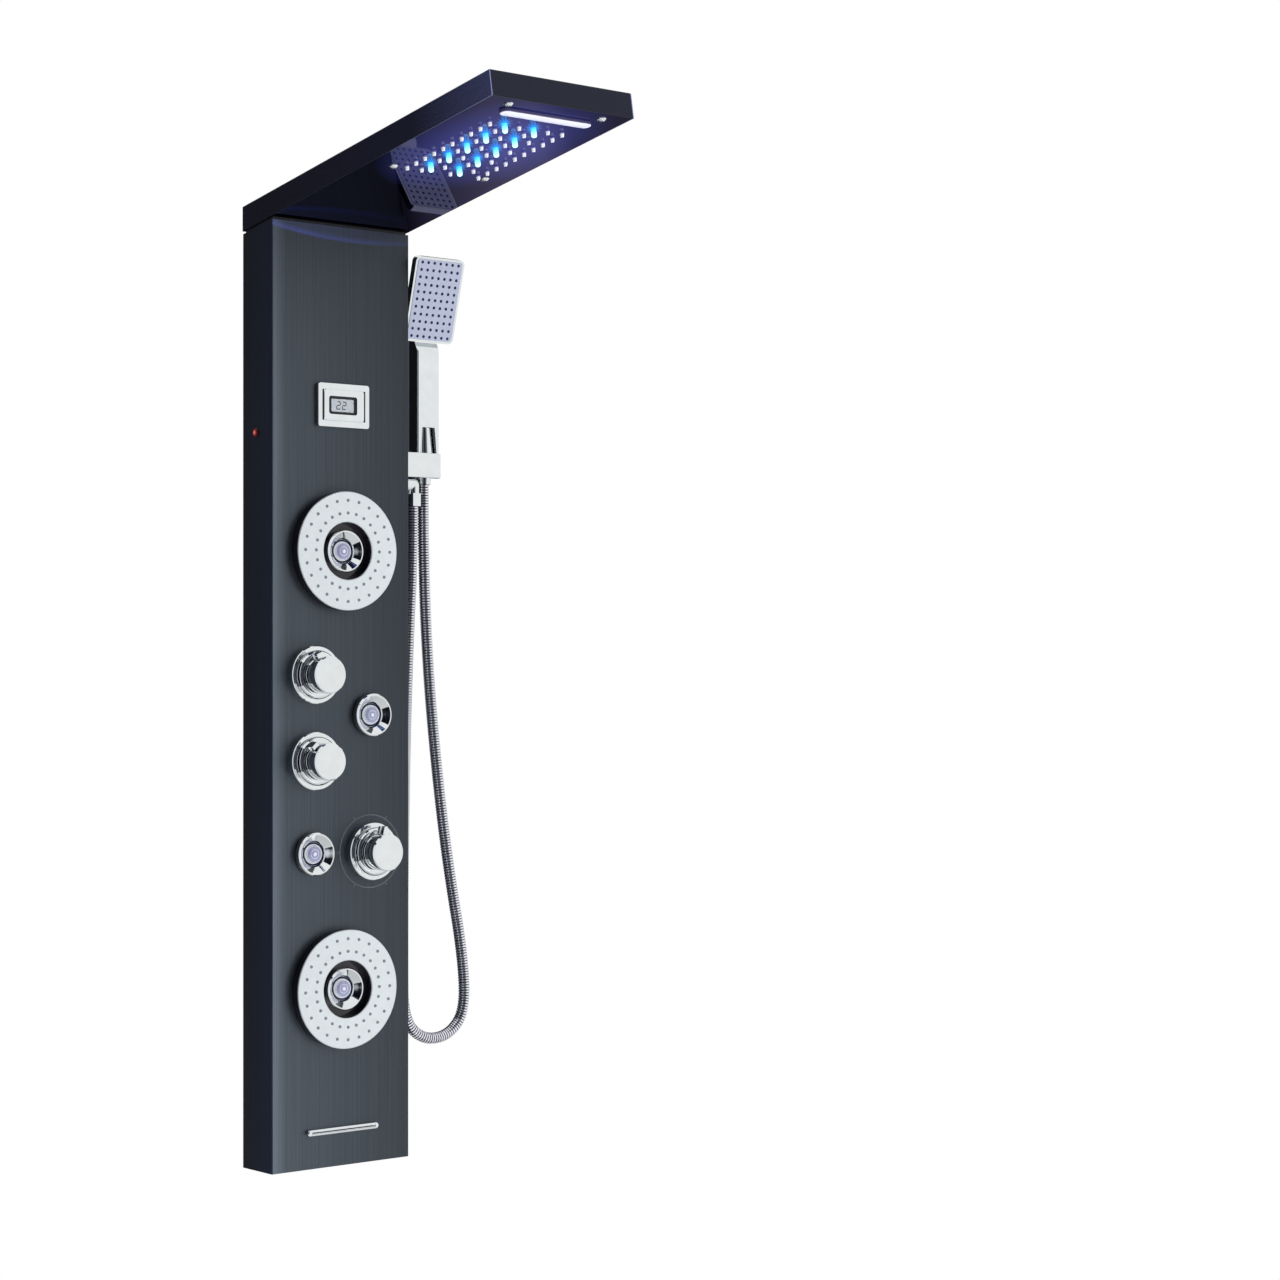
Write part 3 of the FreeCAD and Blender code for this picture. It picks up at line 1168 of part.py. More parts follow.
# Hose outlet, holder, hand shower and hose
def hose_outlet():
    """Elbow through the right side: tail inside, spigot outside under the holder."""
    inner_end = Vector(HANDSET_LANE, OUTLET_Y, OUTLET_HEIGHT)
    outer_end = Vector(OUTLET_X, OUTLET_Y, OUTLET_HEIGHT)
    radius = OUTLET_DIAMETER / 2
    arm = rod(inner_end, ACROSS, OUTLET_DIAMETER, OUTLET_X - HANDSET_LANE)
    tail = rod(inner_end, -UP, SERVICE_TUBE, radius + TAIL_LENGTH)
    drop = rod(outer_end, -UP, OUTLET_DIAMETER, OUTLET_DROP)
    spigot = rod(outer_end - UP * OUTLET_DROP, -UP, OUTLET_SPIGOT, HOSE_NUT_LENGTH / 2)
    flange = rod(
        Vector(HALF_WIDTH, OUTLET_Y, OUTLET_HEIGHT), ACROSS, OUTLET_FLANGE, OUTLET_FLANGE_THICKNESS)
    ceiling = block(
        (HALF_WIDTH, OUTLET_X), (OUTLET_Y - OUTLET_FLANGE, OUTLET_Y + OUTLET_FLANGE),
        (HOLDER_HEIGHT - OUTLET_GAP / 2, HOLDER_TOP))
    knuckles = [Part.makeSphere(radius, inner_end), Part.makeSphere(radius, outer_end)]
    return arm.fuse(knuckles + [tail, drop, spigot, flange.cut(ceiling)]).removeSplitter()


def hose_nut():
    """Hexagonal nut on the outlet's spigot."""
    top = OUTLET_HEIGHT - OUTLET_DROP
    nut = hexagon(HOSE_NUT_FLATS, top - HOSE_NUT_LENGTH, top)
    middle = top - HOSE_NUT_LENGTH / 2
    socket = rod(Vector(0, 0, middle), UP, OUTLET_SPIGOT + 2 * THREAD_CLEARANCE, HOSE_NUT_LENGTH)
    bore = rod(Vector(0, 0, top - 2 * HOSE_NUT_LENGTH), UP, HOSE_BORE, 2 * HOSE_NUT_LENGTH)
    return nut.cut([socket, bore]).translated(Vector(OUTLET_X, OUTLET_Y, 0))


def handset_holder():
    """Block on the panel's side with a tapered socket, slotted at its outer end."""
    half = HOLDER_THICKNESS / 2
    body = rounded_block(
        (HALF_WIDTH, HALF_WIDTH + HOLDER_LENGTH), (HANDSET_Y - half, HANDSET_Y + half),
        (HOLDER_HEIGHT, HOLDER_TOP), HOLDER_EDGE, ACROSS)
    base = Vector(HANDSET_X, HANDSET_Y, HOLDER_HEIGHT)
    socket = Part.makeCone(SOCKET_BOTTOM / 2, SOCKET_TOP / 2, HOLDER_TALL, base)
    slot = block(
        (HANDSET_X, HALF_WIDTH + HOLDER_LENGTH + 1),
        (HANDSET_Y - SOCKET_SLOT / 2, HANDSET_Y + SOCKET_SLOT / 2), (HOLDER_HEIGHT - 1, HOLDER_TOP + 1))
    return body.cut([socket, slot])


def spray_place():
    """Placement of the hand shower's spray head: origin at the middle of its lower front edge."""
    foot = HOLDER_TOP + HANDSET_LIFT + HANDLE_LENGTH
    return Placement(Vector(HANDSET_X, HANDSET_Y - HANDLE_DEPTH / 2, foot), Rotation(ACROSS, SPRAY_TILT))


def handset_body():
    """Handle with a forked foot, shoulder and tilted spray head in one moulding."""
    foot = HOLDER_TOP + HANDSET_LIFT
    front = HANDSET_Y - HANDLE_DEPTH / 2
    back = HANDSET_Y + HANDLE_DEPTH / 2
    bend = foot + HANDLE_LENGTH
    lean = math.radians(SPRAY_TILT)
    rise = bend + SHOULDER_LENGTH
    top_front = front - SHOULDER_LENGTH * math.tan(lean)
    side = [
        Vector(0, front, foot), Vector(0, back, foot), Vector(0, back, bend),
        Vector(0, top_front + SPRAY_DEPTH, rise), Vector(0, top_front + SPRAY_DEPTH / 2, rise),
        Vector(0, front + SPRAY_DEPTH / 2, bend)]
    side.append(Vector(0, front, bend - SPRAY_DEPTH))
    handle = prism(side, Vector(HANDSET_X - HANDLE_WIDTH / 2, 0, 0), ACROSS * HANDLE_WIDTH)
    handle = handle.makeFillet(HANDLE_EDGE, edges_along(handle, UP))
    half = SPRAY_WIDTH / 2
    head = rounded_block((-half, half), (0, SPRAY_DEPTH), (0, SPRAY_LENGTH), SPRAY_CORNER, INWARDS)
    back_rim = [edge for edge in head.Edges if edge.BoundBox.YMin > SPRAY_DEPTH / 2]
    head = head.makeFillet(SPRAY_DEPTH / 3, back_rim)
    recess = face_plate(0, FACE_RECESS)
    head = head.cut(recess)
    wide = CONE_WIDEST / 2 + NOTCH_CLEARANCE
    narrow = CONE_TOP / 2 + NOTCH_CLEARANCE
    notch = [
        Vector(wide, 0, 0), Vector(narrow, 0, NOTCH_HEIGHT), Vector(-narrow, 0, NOTCH_HEIGHT),
        Vector(-wide, 0, 0)]
    fork = prism(notch, Vector(HANDSET_X, front - 1, foot), INWARDS * (HANDLE_DEPTH + 2))
    inlet_top = Vector(HANDSET_X, HANDSET_Y, foot + NOTCH_HEIGHT)
    spigot = rod(inlet_top, -UP, SPIGOT_DIAMETER, SPIGOT_LENGTH)
    return handle.cut(fork).fuse([placed(head, spray_place()), spigot]).removeSplitter()


def face_plate(clearance, depth):
    """Spray plate's outline, drawn with its front at y = 0."""
    inset = FACE_RIM + clearance
    half = SPRAY_WIDTH / 2 - inset
    return rounded_block(
        (-half, half), (0, depth), (inset, SPRAY_LENGTH - inset), SPRAY_CORNER - FACE_RIM, INWARDS)


def handset_face():
    """Spray plate with its grid of outlets."""
    plate = face_plate(FACE_CLEARANCE, FACE_RECESS + FACE_PROUD)
    plate.translate(Vector(0, -FACE_PROUD, 0))
    pit = Part.makeCone(FACE_DOT / 2, 0, FACE_DOT_DEPTH, Vector(0, -FACE_PROUD, 0), INWARDS)
    pits = []
    for column in range(FACE_COLUMNS):
        x = (column - (FACE_COLUMNS - 1) / 2) * FACE_PITCH
        for row in range(FACE_ROWS):
            z = SPRAY_LENGTH / 2 + (row - (FACE_ROWS - 1) / 2) * FACE_PITCH
            pits.append(pit.translated(Vector(x, 0, z)))
    return placed(plate.cut(pits), spray_place())


def hose_cone_nut():
    """Conical hose nut: screwed to the hand shower, widest at the holder's top, tapering into it."""
    seat = HOLDER_TOP + HANDSET_LIFT
    top = seat + NOTCH_HEIGHT - NOTCH_CLEARANCE / 2
    foot = HOLDER_HEIGHT
    thread = SPIGOT_DIAMETER / 2 + THREAD_CLEARANCE
    thread_end = seat + NOTCH_HEIGHT - SPIGOT_LENGTH - NOTCH_CLEARANCE
    bore = CONE_BORE / 2
    nut = turned([
        (thread, top), (CONE_TOP / 2, top), (CONE_WIDEST / 2, seat), (CONE_FOOT / 2, foot),
        (CONE_COLLAR / 2, foot - CONE_BELOW / 2), (CONE_COLLAR / 2, foot - CONE_BELOW),
        (bore, foot - CONE_BELOW), (bore, thread_end), (thread, thread_end)])
    return nut.translated(Vector(HANDSET_X, HANDSET_Y, 0))


def shower_hose():
    """Ribbed metal hose with its bore: a ruled skin through the rings of each rib."""
    points = [Vector(*point) for point in HOSE_ROUTE]
    path, radii = bent_path(points)
    print("hose bend radii", [round(radius) for radius in radii])
    plain = HOSE_DIAMETER
    pitch = (path.Length - 2 * plain) / HOSE_RIBS
    rings = [(0.0, HOSE_VALLEY), (plain, HOSE_VALLEY)]
    rib_shape = ((0.2, HOSE_DIAMETER), (0.65, HOSE_DIAMETER), (0.85, HOSE_VALLEY), (1.0, HOSE_VALLEY))
    for rib in range(HOSE_RIBS):
        start = plain + rib * pitch
        for share, diameter in rib_shape:
            rings.append((start + share * pitch, diameter))
    rings.append((path.Length, HOSE_VALLEY))
    outside = [path_ring(path, distance, diameter) for distance, diameter in rings]
    skin = Part.makeLoft(outside, True, True)
    bore = path.makePipeShell([path_ring(path, 0.0, HOSE_BORE)], True, False)
    hose = skin.cut(bore)
    print("hose length", round(path.Length, 1), "volume", round(hose.Volume))
    return hose


def path_ring(path, distance, diameter):
    """Circle square to a path, its seam on the side that faces the room."""
    for edge in path.OrderedEdges:
        if distance <= edge.Length + 1e-6:
            break
        distance -= edge.Length
    parameter = edge.getParameterByLength(min(distance, edge.Length))
    centre = edge.valueAt(parameter)
    tangent = edge.tangentAt(parameter)
    seam = (-INWARDS - tangent * tangent.dot(-INWARDS)).normalize()
    ring = Part.makeCircle(diameter / 2)
    frame = FreeCAD.Matrix()
    third = tangent.cross(seam)
    for row, axis in enumerate("xyz", 1):
        setattr(frame, f"A{row}1", getattr(seam, axis))
        setattr(frame, f"A{row}2", getattr(third, axis))
        setattr(frame, f"A{row}3", getattr(tangent, axis))
        setattr(frame, f"A{row}4", getattr(centre, axis))
    ring.Placement = Placement(frame)
    return Part.Wire(ring)


def all_pieces():
    """Every piece under its name, with heights still measured from the panel's lower edge."""
    pieces = {
        "panel_shell": panel_shell(), "top_cap": top_cap(), "bottom_cap": bottom_cap(),
        "neck_gasket": neck_gasket(), "wall_brackets": wall_brackets(), "hanger_rails": hanger_rails(),
        "head_shell": head_shell(), "head_soffit": head_soffit(), "rain_chamber": rain_chamber(),
        "rain_nozzles": rain_nozzles(), "lamp_lenses": lamp_lenses(), "lamp_strips": lamp_strips(),
        "soffit_screws": soffit_screws(), "waterfall_spout": waterfall_spout(),
        "jet_cups": jet_cups(), "jet_back_nuts": jet_back_nuts(), "jet_gaskets": jet_gaskets(),
        "valve_body": valve_body(), "diverter_body": diverter_body(),
        "mixed_tube": mixed_tube(), "rain_tube": rain_tube(), "waterfall_tube": waterfall_tube(),
        "jet_tubes": jet_tubes(), "handset_tube": handset_tube(), "spout_tube": spout_tube(),
        "hydro_generator": hydro_generator(),
        "display_bezel": display_bezel(), "display_window": display_window(),
        "display_module": display_module(), "pilot_lamp": pilot_lamp(), "bath_spout": bath_spout(),
        "hose_outlet": hose_outlet(), "hose_nut": hose_nut(), "shower_hose": shower_hose(),
        "handset_holder": handset_holder(), "handset_body": handset_body(),
        "handset_face": handset_face(), "hose_cone_nut": hose_cone_nut(),
    }
    for side in ("upper", "lower"):
        pieces[f"{side}_disc_body"] = on_front(disc_body(), *JETS[side])
        pieces[f"{side}_disc_face"] = on_front(disc_face(), *JETS[side])
    for side, (x, height) in JETS.items():
        pieces[f"{side}_jet_ball"] = on_front(jet_ball(), x, height, DISC_SEAT - JET_BALL_DROP)
        pieces[f"{side}_jet_nozzle"] = on_front(jet_nozzle(), x, height, DISC_SEAT - JET_BALL_DROP)
    nuts = []
    flanges = []
    for name, (x, height, angle) in KNOBS.items():
        turned_knob = placed(knob(name == "diverter"), Placement(Vector(), Rotation(UP, angle)))
        pieces[f"{name}_knob"] = on_front(turned_knob, x, height)
        pieces[f"{name}_spindle"] = on_front(spindle(), x, height)
        flanges.append(on_front(knob_flange(), x, height))
        nuts.append(on_front(ring_nut(), x, height))
    pieces["knob_flanges"] = Part.Compound(flanges)
    pieces["ring_nuts"] = Part.Compound(nuts)
    pieces["valve_cartridges"] = Part.Compound([
        on_front(cartridge(), -COLUMN_X, height) for height in (HOT_HEIGHT, COLD_HEIGHT)])
    pieces["diverter_cartridge"] = on_front(cartridge(), COLUMN_X, DIVERTER_HEIGHT)
    return pieces


def main():
    os.makedirs("parts", exist_ok=True)
    for name, shape in all_pieces().items():
        shape.translated(Vector(0, 0, -HANG_HEIGHT)).exportStep(f"parts/{name}.step")


main()
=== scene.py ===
"""Looks of the wall-hung shower panel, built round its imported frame. Metres, Z up, wall at y = 0."""
import json
import math

import bmesh
import bpy
from mathutils import Matrix, Vector

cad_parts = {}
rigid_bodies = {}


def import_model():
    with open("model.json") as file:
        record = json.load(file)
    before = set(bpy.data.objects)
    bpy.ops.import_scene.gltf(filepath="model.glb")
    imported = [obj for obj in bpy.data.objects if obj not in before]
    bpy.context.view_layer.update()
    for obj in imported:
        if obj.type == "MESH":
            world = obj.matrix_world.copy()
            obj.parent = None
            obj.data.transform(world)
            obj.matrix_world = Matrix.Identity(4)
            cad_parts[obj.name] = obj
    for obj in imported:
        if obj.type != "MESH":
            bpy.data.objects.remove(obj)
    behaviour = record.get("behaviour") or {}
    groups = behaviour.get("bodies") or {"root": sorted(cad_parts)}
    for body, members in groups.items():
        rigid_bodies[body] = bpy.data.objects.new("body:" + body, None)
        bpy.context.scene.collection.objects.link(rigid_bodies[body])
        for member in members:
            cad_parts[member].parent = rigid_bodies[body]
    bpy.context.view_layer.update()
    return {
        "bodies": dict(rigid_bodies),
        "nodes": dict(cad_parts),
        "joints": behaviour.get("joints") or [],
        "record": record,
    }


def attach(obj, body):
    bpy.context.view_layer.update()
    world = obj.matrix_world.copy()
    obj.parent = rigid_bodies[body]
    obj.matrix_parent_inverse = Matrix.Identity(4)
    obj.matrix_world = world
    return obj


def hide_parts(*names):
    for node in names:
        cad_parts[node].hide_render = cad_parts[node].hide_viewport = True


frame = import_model()
nodes = frame["nodes"]

MM = 0.001
CLOSE = 0.01 * MM
HANG = 1.040
FRONT = -0.065
OUT = Vector((0, -1, 0))
DOWN = Vector((0, 0, -1))

# Camera fitted to the photograph's edges
CAMERA_PLACE = (-1.9401, -2.9147, -0.4406)
CAMERA_TURN = 0.70307
CAMERA_LENS = 79.356
CAMERA_SENSOR = 36.0
CAMERA_SHIFT_UP = 0.02497

# Hose route, the same points as the solid's, heights above the panel's lower edge
HOSE_ROUTE = (
    (140.0, -40.0, 834.0),
    (140.0, -40.0, 742.0),
    (148.0, -39.0, 600.0),
    (164.0, -38.0, 462.0),
    (181.0, -38.0, 350.0),
    (203.0, -38.0, 241.0),
    (207.0, -38.0, 169.0),
    (180.0, -38.0, 139.5),
    (140.0, -38.0, 138.0),
    (111.0, -38.0, 165.5),
    (110.0, -38.0, 236.0),
    (110.4, -38.6, 370.0),
    (112.0, -40.2, 515.0),
    (115.2, -43.0, 650.0),
    (119.0, -46.0, 740.0),
    (119.0, -46.0, 806.0),
)
ROUTE_STEPS = 24
ROUTE_ORDER = 3
HOSE_CREST = 7.0 * MM
HOSE_VALLEY = 5.6 * MM
TAIL_CREST = 5.8 * MM
TAIL_VALLEY = 5.1 * MM
TAIL_LENGTH = 66 * MM
HOSE_RIB_PITCH = 3.4 * MM
HOSE_SIDES = 20
RIB_SHARES = (0.0, 0.14, 0.22, 0.78, 0.86)
RIB_SHOULDER = 0.75

# Places and sizes below are in millimetres; a cone is given by its two radii and its height
# Jets and spray discs
JETS = {"upper": (0.0, -294.0), "right": (42.0, -493.0), "left": (-42.0, -660.0), "lower": (0.0, -825.0)}
LENS_APEX = -70.4
LENS_RIM = -68.0
LENS_RADIUS = 10.7
BALL_EDGE = (13.6, -65.3)
WIPER_THICKNESS = 1.5
RIM_RIDGE_INSET = 0.7
RIM_RIDGE_PROUD = 0.1
RIM_RIDGE_THICKNESS = 0.9
INNER_RIDGE_RADIUS = 5.4
INNER_RIDGE_SUNK = 0.75
INNER_RIDGE_THICKNESS = 0.8
EYE = (2.6, 1.4, 0.8)
EYE_SUNK = 0.3
EYE_SIDES = 20
RING_STEPS = 40
SMALL_RING_STEPS = 32
RING_SIDES = 8
DISC_FRONT = -79.0
DISC_DOT_RINGS = (61.3, 46.0)
DISC_DOTS = 24
DISC_NUB = (2.2, 1.8, 1.2)
DISC_NUB_SUNK = 0.6
NUB_SIDES = 12

# Knobs: the dial round the diverter; each tab's place, turn, and half width and radius at its tip
DIVERTER = (42.0, -660.0)
DIAL_RADIUS = 44.0
DIAL_LINE = 1.0
DIAL_PROUD = 0.05
DIAL_STEPS = 72
DIAL_MARKS = 6
DIAL_MARK = (3.0, 1.2, 0.05)
DIAL_MARK_OUT = 3.0
TABS = {
    "hot": ((-42.0, -444.0), 26.0, (4.5, 29.0)),
    "cold": ((-42.0, -548.0), 44.0, (4.5, 29.0)),
    "diverter": (DIVERTER, 0.0, (2.0, 31.5)),
}
TAB_ROOT = (4.5, 22.5)
TAB_RIB = 1.2
TAB_RIB_HEIGHT = 26.4
TAB_RIB_SIDES = 16

# Display: a digit's bars are given by their places across and up, and their sizes
DISPLAY_HEIGHT = -117.5
DISPLAY_FRONT = -70.0
PANE = (43.6, 22.1)
PANE_DEPTH = 4.2
PANE_RECESS = 0.8
PLATE = (57.6, 37.0)
PLATE_PROUD = 0.7
PLATE_SUNK = 0.2
OPENING = (41.0, 22.0)
OPENING_CORNER = 3.0
OPENING_X = -1.6
SCREEN = (32.4, 15.4)
SCREEN_CORNER = 1.6
SCREEN_X = -1.6
SCREEN_PROUD = 0.15
SCREEN_DEPTH = 0.3
CORNER_STEPS = 6
DIGIT_MIDDLES = (-7.6, 0.8)
DIGIT_BARS = (
    (0.1, 4.4, 4.0, 1.2),
    (2.3, 2.2, 1.2, 3.6),
    (0.1, 0.1, 3.6, 1.2),
    (-2.2, -2.3, 1.2, 3.4),
    (0.2, -4.5, 5.2, 1.2),
)
DIGIT_LEAN = 0.14
DIGIT_PROUD = 0.2
DIGIT_DEPTH = 0.1

# Grooves and slots
GROOVE_X = 30.0
GROOVE_SIZE = (2.6, 37.0)
GROOVE_SUNK = 0.35
SHADE_STRIP_DEPTH = 0.8
SPOUT_HEIGHT = -996.0
SPOUT_FRONT = -70.0
SPOUT_SLOT = (93.0, 3.2)
SPOUT_GAP = (90.0, 1.3)
SPOUT_GAP_SUNK = 1.1
BAFFLE_SUNK = 1.6
BAFFLE_DEPTH = 1.2
BAFFLE_CORNER = 1.4
BAFFLE_STEPS = 4
FALL_ALONG = 471.4
FALL_LIP = (111.2, 6.8, 3.0)
FALL_LIP_HANG = 3.9
FALL_LIP_CORNER = 3.3

# Overhead: its frame, rain nozzles and screws
HEAD_RISE = 92.194
HEAD_TILT = math.radians(-10)
HEAD_FRAME = Matrix.Translation((0, 0, HEAD_RISE * MM)) @ Matrix.Rotation(HEAD_TILT, 4, "X")
RAIN_ROWS = 10
RAIN_COLUMNS = 6
RAIN_FRONT = 435.5
RAIN_ROW_PITCH = 17.65
RAIN_COLUMN_PITCH = 20.4
RAIN_LAMP_COLUMNS = (1, 3)
RAIN_SPARSE_COLUMNS = (0, 1, 3, 5)
NOZZLE_HANG = 5.0
NOZZLE_HOLE = (0.7, 0.6, 0.06)
NOZZLE_HOLE_SIDES = 8
SCREW_X = 65.5
SCREW_ALONGS = (269.65, 489.0)
SCREW_HANG = 3.2
SCREW_CROSS = (4.4, 1.0, 0.3)

# Hand shower: its frame and outlets
SPRAY_PLACE = (140.0, -51.0, -28.7)
SPRAY_LEAN = math.radians(15)
SPRAY_FRAME = Matrix.Translation(Vector(SPRAY_PLACE) * MM) @ Matrix.Rotation(SPRAY_LEAN, 4, "X")
SPRAY_COLUMNS = 7
SPRAY_ROWS = 11
SPRAY_PITCH = 9.2
SPRAY_MIDDLE = 53.0
SPRAY_SHADE_CONE = (2.2, 1.9, 1.0)
SPRAY_SHADE_CONE_SUNK = 0.3

# Supply inlets
INLET_HEIGHTS = (-444.0, -548.0)
INLET_X = -42.0
INLET_RADIUS = 10.48
INLET_THREAD = (-16.5, -5.0)
THREAD_TURNS = 6
THREAD_RIDGE = 0.9
THREAD_SIDES = 6

# Lamps and their painted glow on the underside: places in millimetres, the field as centre and half sizes
LAMP_HANG = 11.0
LAMP_FIRST = (-30.6, 294.3)
LAMP_STEP = (40.8, 35.3)
LAMP_COUNT = (2, 5)
LAMP_CORE = 2.0
LAMP_HALO = 11.5
LAMP_HALO_POWER = 1.2
LAMP_RAYS = 13.0
LAMP_SHORT_RAY = 0.6
LAMP_STREAK = 2.2
LAMP_STREAK_TURN = math.radians(53.5)
LAMP_FIELD = (0.0, 375.0, 110.0, 150.0)
LAMP_ROOT = 1.5
LAMP_ROOT_TONE = (0.06, 0.55, 0.95)
LAMP_TIP_TONE = (0.44, 0.96, 1.0)
# Colours of the painted glow on the underside
UNLIT = (0, 0, 0)
PAINTED_LAMP_BLUE = (0.01, 0.30, 0.95)
PAINTED_FIELD_VIOLET = (0.026, 0.034, 0.185)

# Grain and gloss
GRAIN_DETAIL = 3.0
GRAIN_RANGE = (0.3, 0.7)
RELIEF_STRENGTH = 0.3
LENS_ROUGHNESS = 0.2
TIPPED_ROUGHNESS = (0.3, 0.45)
TIPPED_GRAIN = 600

# Tones by place, most of them painted light and shade: a slope is its start and end, in metres or in
# shares of the field, and its value at each
SIDE_FROM = 0.0988
SIDE_DEPTH = (-0.005, FRONT)
# Painted shade on the casing's sides, turning bluish towards the front
SIDE_PAINTED_SHADE = ((0, (0.475, 0.415, 0.375)), (1, (0.455, 0.485, 0.63)))
FRONT_SKIN = FRONT + 0.0005
# Painted light on the casing's front: paler to the left, darker towards the top in the overhead's shade,
# lighter towards the bottom, with a painted highlight along the left fold
CASING_PAINTED_LIGHT_ACROSS = (-0.098, 0.1, 1.9, 0.95)
CASING_PAINTED_SHADE_UPWARD = (-0.15, 0.10, 1.0, 0.80)
CASING_PAINTED_LIGHT_DOWNWARD = (-0.35, -0.95, 1.0, 1.18)
CASING_FOLD_PAINTED_HIGHLIGHT = (-0.0985, -0.080, 1.8, 1.0)
LAMP_STRENGTH = (-0.0020, -0.0070, 0.7, 1.15)
LAMP_FIELD_FADE = (0.35, 1.1, 1.0, 0.0)
# Painted glow of the lamps' light in an arc at the top of the casing's front
ARC_LOWEST = 0.0835
ARC_MIDDLE = 0.02
ARC_BOW = 0.75
ARC_EDGE = (-0.0025, 0.0)
ARC_ABOVE = (0.0005, 0.0060, 1.0, 0.22)
ARC_FADE = (-0.06, 0.1, 1.0, 0.28)
ARC_PAINTED_GLOW = (0.016, 0.022, 0.13, 1)
HEAD_FRONT = -0.497
# Painted light on the overhead's sides, paler towards the front
HEAD_SIDE_PAINTED_LIGHT = (
    (0, (3.6, 3.0, 2.0)), (0.66, (5.0, 4.6, 3.9)), (0.76, (10.5, 9.6, 8.8)), (1, (23.0, 22.0, 20.5)))
PILOT_PLACE = (-0.031, -0.153)
PILOT_RADIUS = 0.0055
PILOT_TONES = (
    (0, (0.62, 0.27, 0.22)), (0.30, (0.50, 0.10, 0.07)), (0.62, (0.13, 0.008, 0.008)),
    (1, (0.012, 0.003, 0.004)))
PILOT_STRENGTH = 0.5

# Plain finishes: material, dark and light tones, roughness, grain, relief and other inputs
PLAIN_FINISHES = {
    "seal": (
        "black_seal_rubber", (0.010, 0.010, 0.011), (0.022, 0.022, 0.024), (0.55, 0.75), 400, 0.0001, {}),
    "steel": (
        "zinc_plated_steel", (0.45, 0.46, 0.47), (0.58, 0.58, 0.57), (0.28, 0.45),
        (150, 60, 60), 0.00003, {"Metallic": 1.0}),
    "chrome": (
        "polished_chrome", (0.72, 0.75, 0.76), (0.77, 0.80, 0.81), (0.04, 0.08),
        60, 0.0, {"Metallic": 1.0}),
    "rib": (
        "bright_hose_rib", (0.72, 0.73, 0.79), (0.78, 0.79, 0.85), (0.10, 0.16),
        60, 0.0, {"Metallic": 0.95}),
    "black": (
        "polished_black_body", (0.006, 0.006, 0.009), (0.010, 0.010, 0.014), (0.06, 0.12), 80, 0.0, {}),
    "plate": (
        "silver_spray_plate", (0.635, 0.68, 0.705), (0.675, 0.72, 0.745), (0.30, 0.36),
        120, 0.0, {"Metallic": 0.8}),
    "face": (
        "lavender_spray_face", (0.33, 0.36, 0.47), (0.36, 0.39, 0.50), (0.3, 0.4),
        200, 0.0, {"Metallic": 0.5, "Coat_Weight": 0.3}),
    "lens": (
        "lavender_jet_lens", (0.15, 0.16, 0.24), (0.21, 0.22, 0.32), (0.12, 0.2),
        500, 0.00002, {"Coat_Weight": 0.6}),
    "ridge": (
        "pale_lens_ridge", (0.40, 0.415, 0.54), (0.46, 0.475, 0.60), (0.12, 0.2),
        500, 0.0, {"Coat_Weight": 0.6}),
    "eye": (
        "clear_jet_centre", (0.46, 0.47, 0.58), (0.53, 0.54, 0.65), (0.1, 0.2),
        500, 0.0, {"Coat_Weight": 0.6}),
    "nub": (
        "grey_nub_rubber", (0.10, 0.11, 0.125), (0.14, 0.15, 0.165), (0.4, 0.6), 500, 0.00002, {}),
    # Painted shade in the hose's grooves
    "groove": (
        "hose_groove_painted_shade", (0.030, 0.030, 0.036), (0.055, 0.055, 0.062), (0.3, 0.5),
        300, 0.0, {"Metallic": 1.0}),
    # Pale finish that paints a highlight on the tabs' ribs
    "painted_tab_highlight": (
        "tab_rib_painted_highlight", (0.80, 0.82, 0.84), (0.85, 0.87, 0.89), (0.15, 0.25),
        200, 0.0, {"Coat_Weight": 0.5}),
    "brass": (
        "turned_brass", (0.58, 0.41, 0.17), (0.72, 0.54, 0.26), (0.2, 0.35),
        200, 0.00003, {"Metallic": 1.0}),
    "tube": (
        "natural_tube", (0.60, 0.60, 0.57), (0.70, 0.70, 0.67), (0.35, 0.5), 80, 0.00003, {}),
    # Black moulding, and painted shade in the screws' cross recesses
    "housing": (
        "black_moulding_and_recess_shade", (0.014, 0.014, 0.016), (0.026, 0.026, 0.029), (0.4, 0.6), 500, 0.0001, {}),
    # Dark rubber of the wiper rings, and painted shade in the hand shower's and rain nozzles' holes
    "rubber_and_hole_shade": (
        "dark_rubber_and_hole_shade", (0.008, 0.009, 0.032), (0.014, 0.015, 0.050), (0.5, 0.7),
        500, 0.00005, {"Specular_IOR_Level": 0.15}),
    # Dark pane of the display, and painted shade in the display's grooves and the spout's slot
    "shade": (
        "black_pane_and_slot_shade", (0.008, 0.008, 0.010), (0.014, 0.014, 0.016), (0.6, 0.8), 500, 0.0, {}),
    "screen": (
        "grey_liquid_crystal", (0.26, 0.28, 0.31), (0.32, 0.34, 0.37), (0.15, 0.25),
        200, 0.0, {"Coat_Weight": 0.3}),
    "digit": (
        "dark_digit", (0.022, 0.024, 0.028), (0.032, 0.034, 0.038), (0.5, 0.6), 200, 0.0, {}),
    "print": (
        "faint_dial_print", (0.058, 0.066, 0.076), (0.074, 0.082, 0.093), (0.4, 0.6), 700, 0.0, {}),
}

# Finishes painted from a shaded root to a lit tip as they hang: material, root and tip tones, and where
# the change starts and ends
TIPPED_FINISHES = {
    # Painted shade darkens the bezel's sides; the nozzles' roots are painted the underside's violet glow
    # and their tips painted white as lit
    "satin": ("satin_bezel_painted_shade", (0.06, 0.05, 0.12), (0.66, 0.67, 0.80), 2.8, 3.6),
    "silicone": ("nozzle_painted_lit_tip", (0.14, 0.125, 0.36), (0.86, 0.86, 0.93), 1.2, 2.0),
}

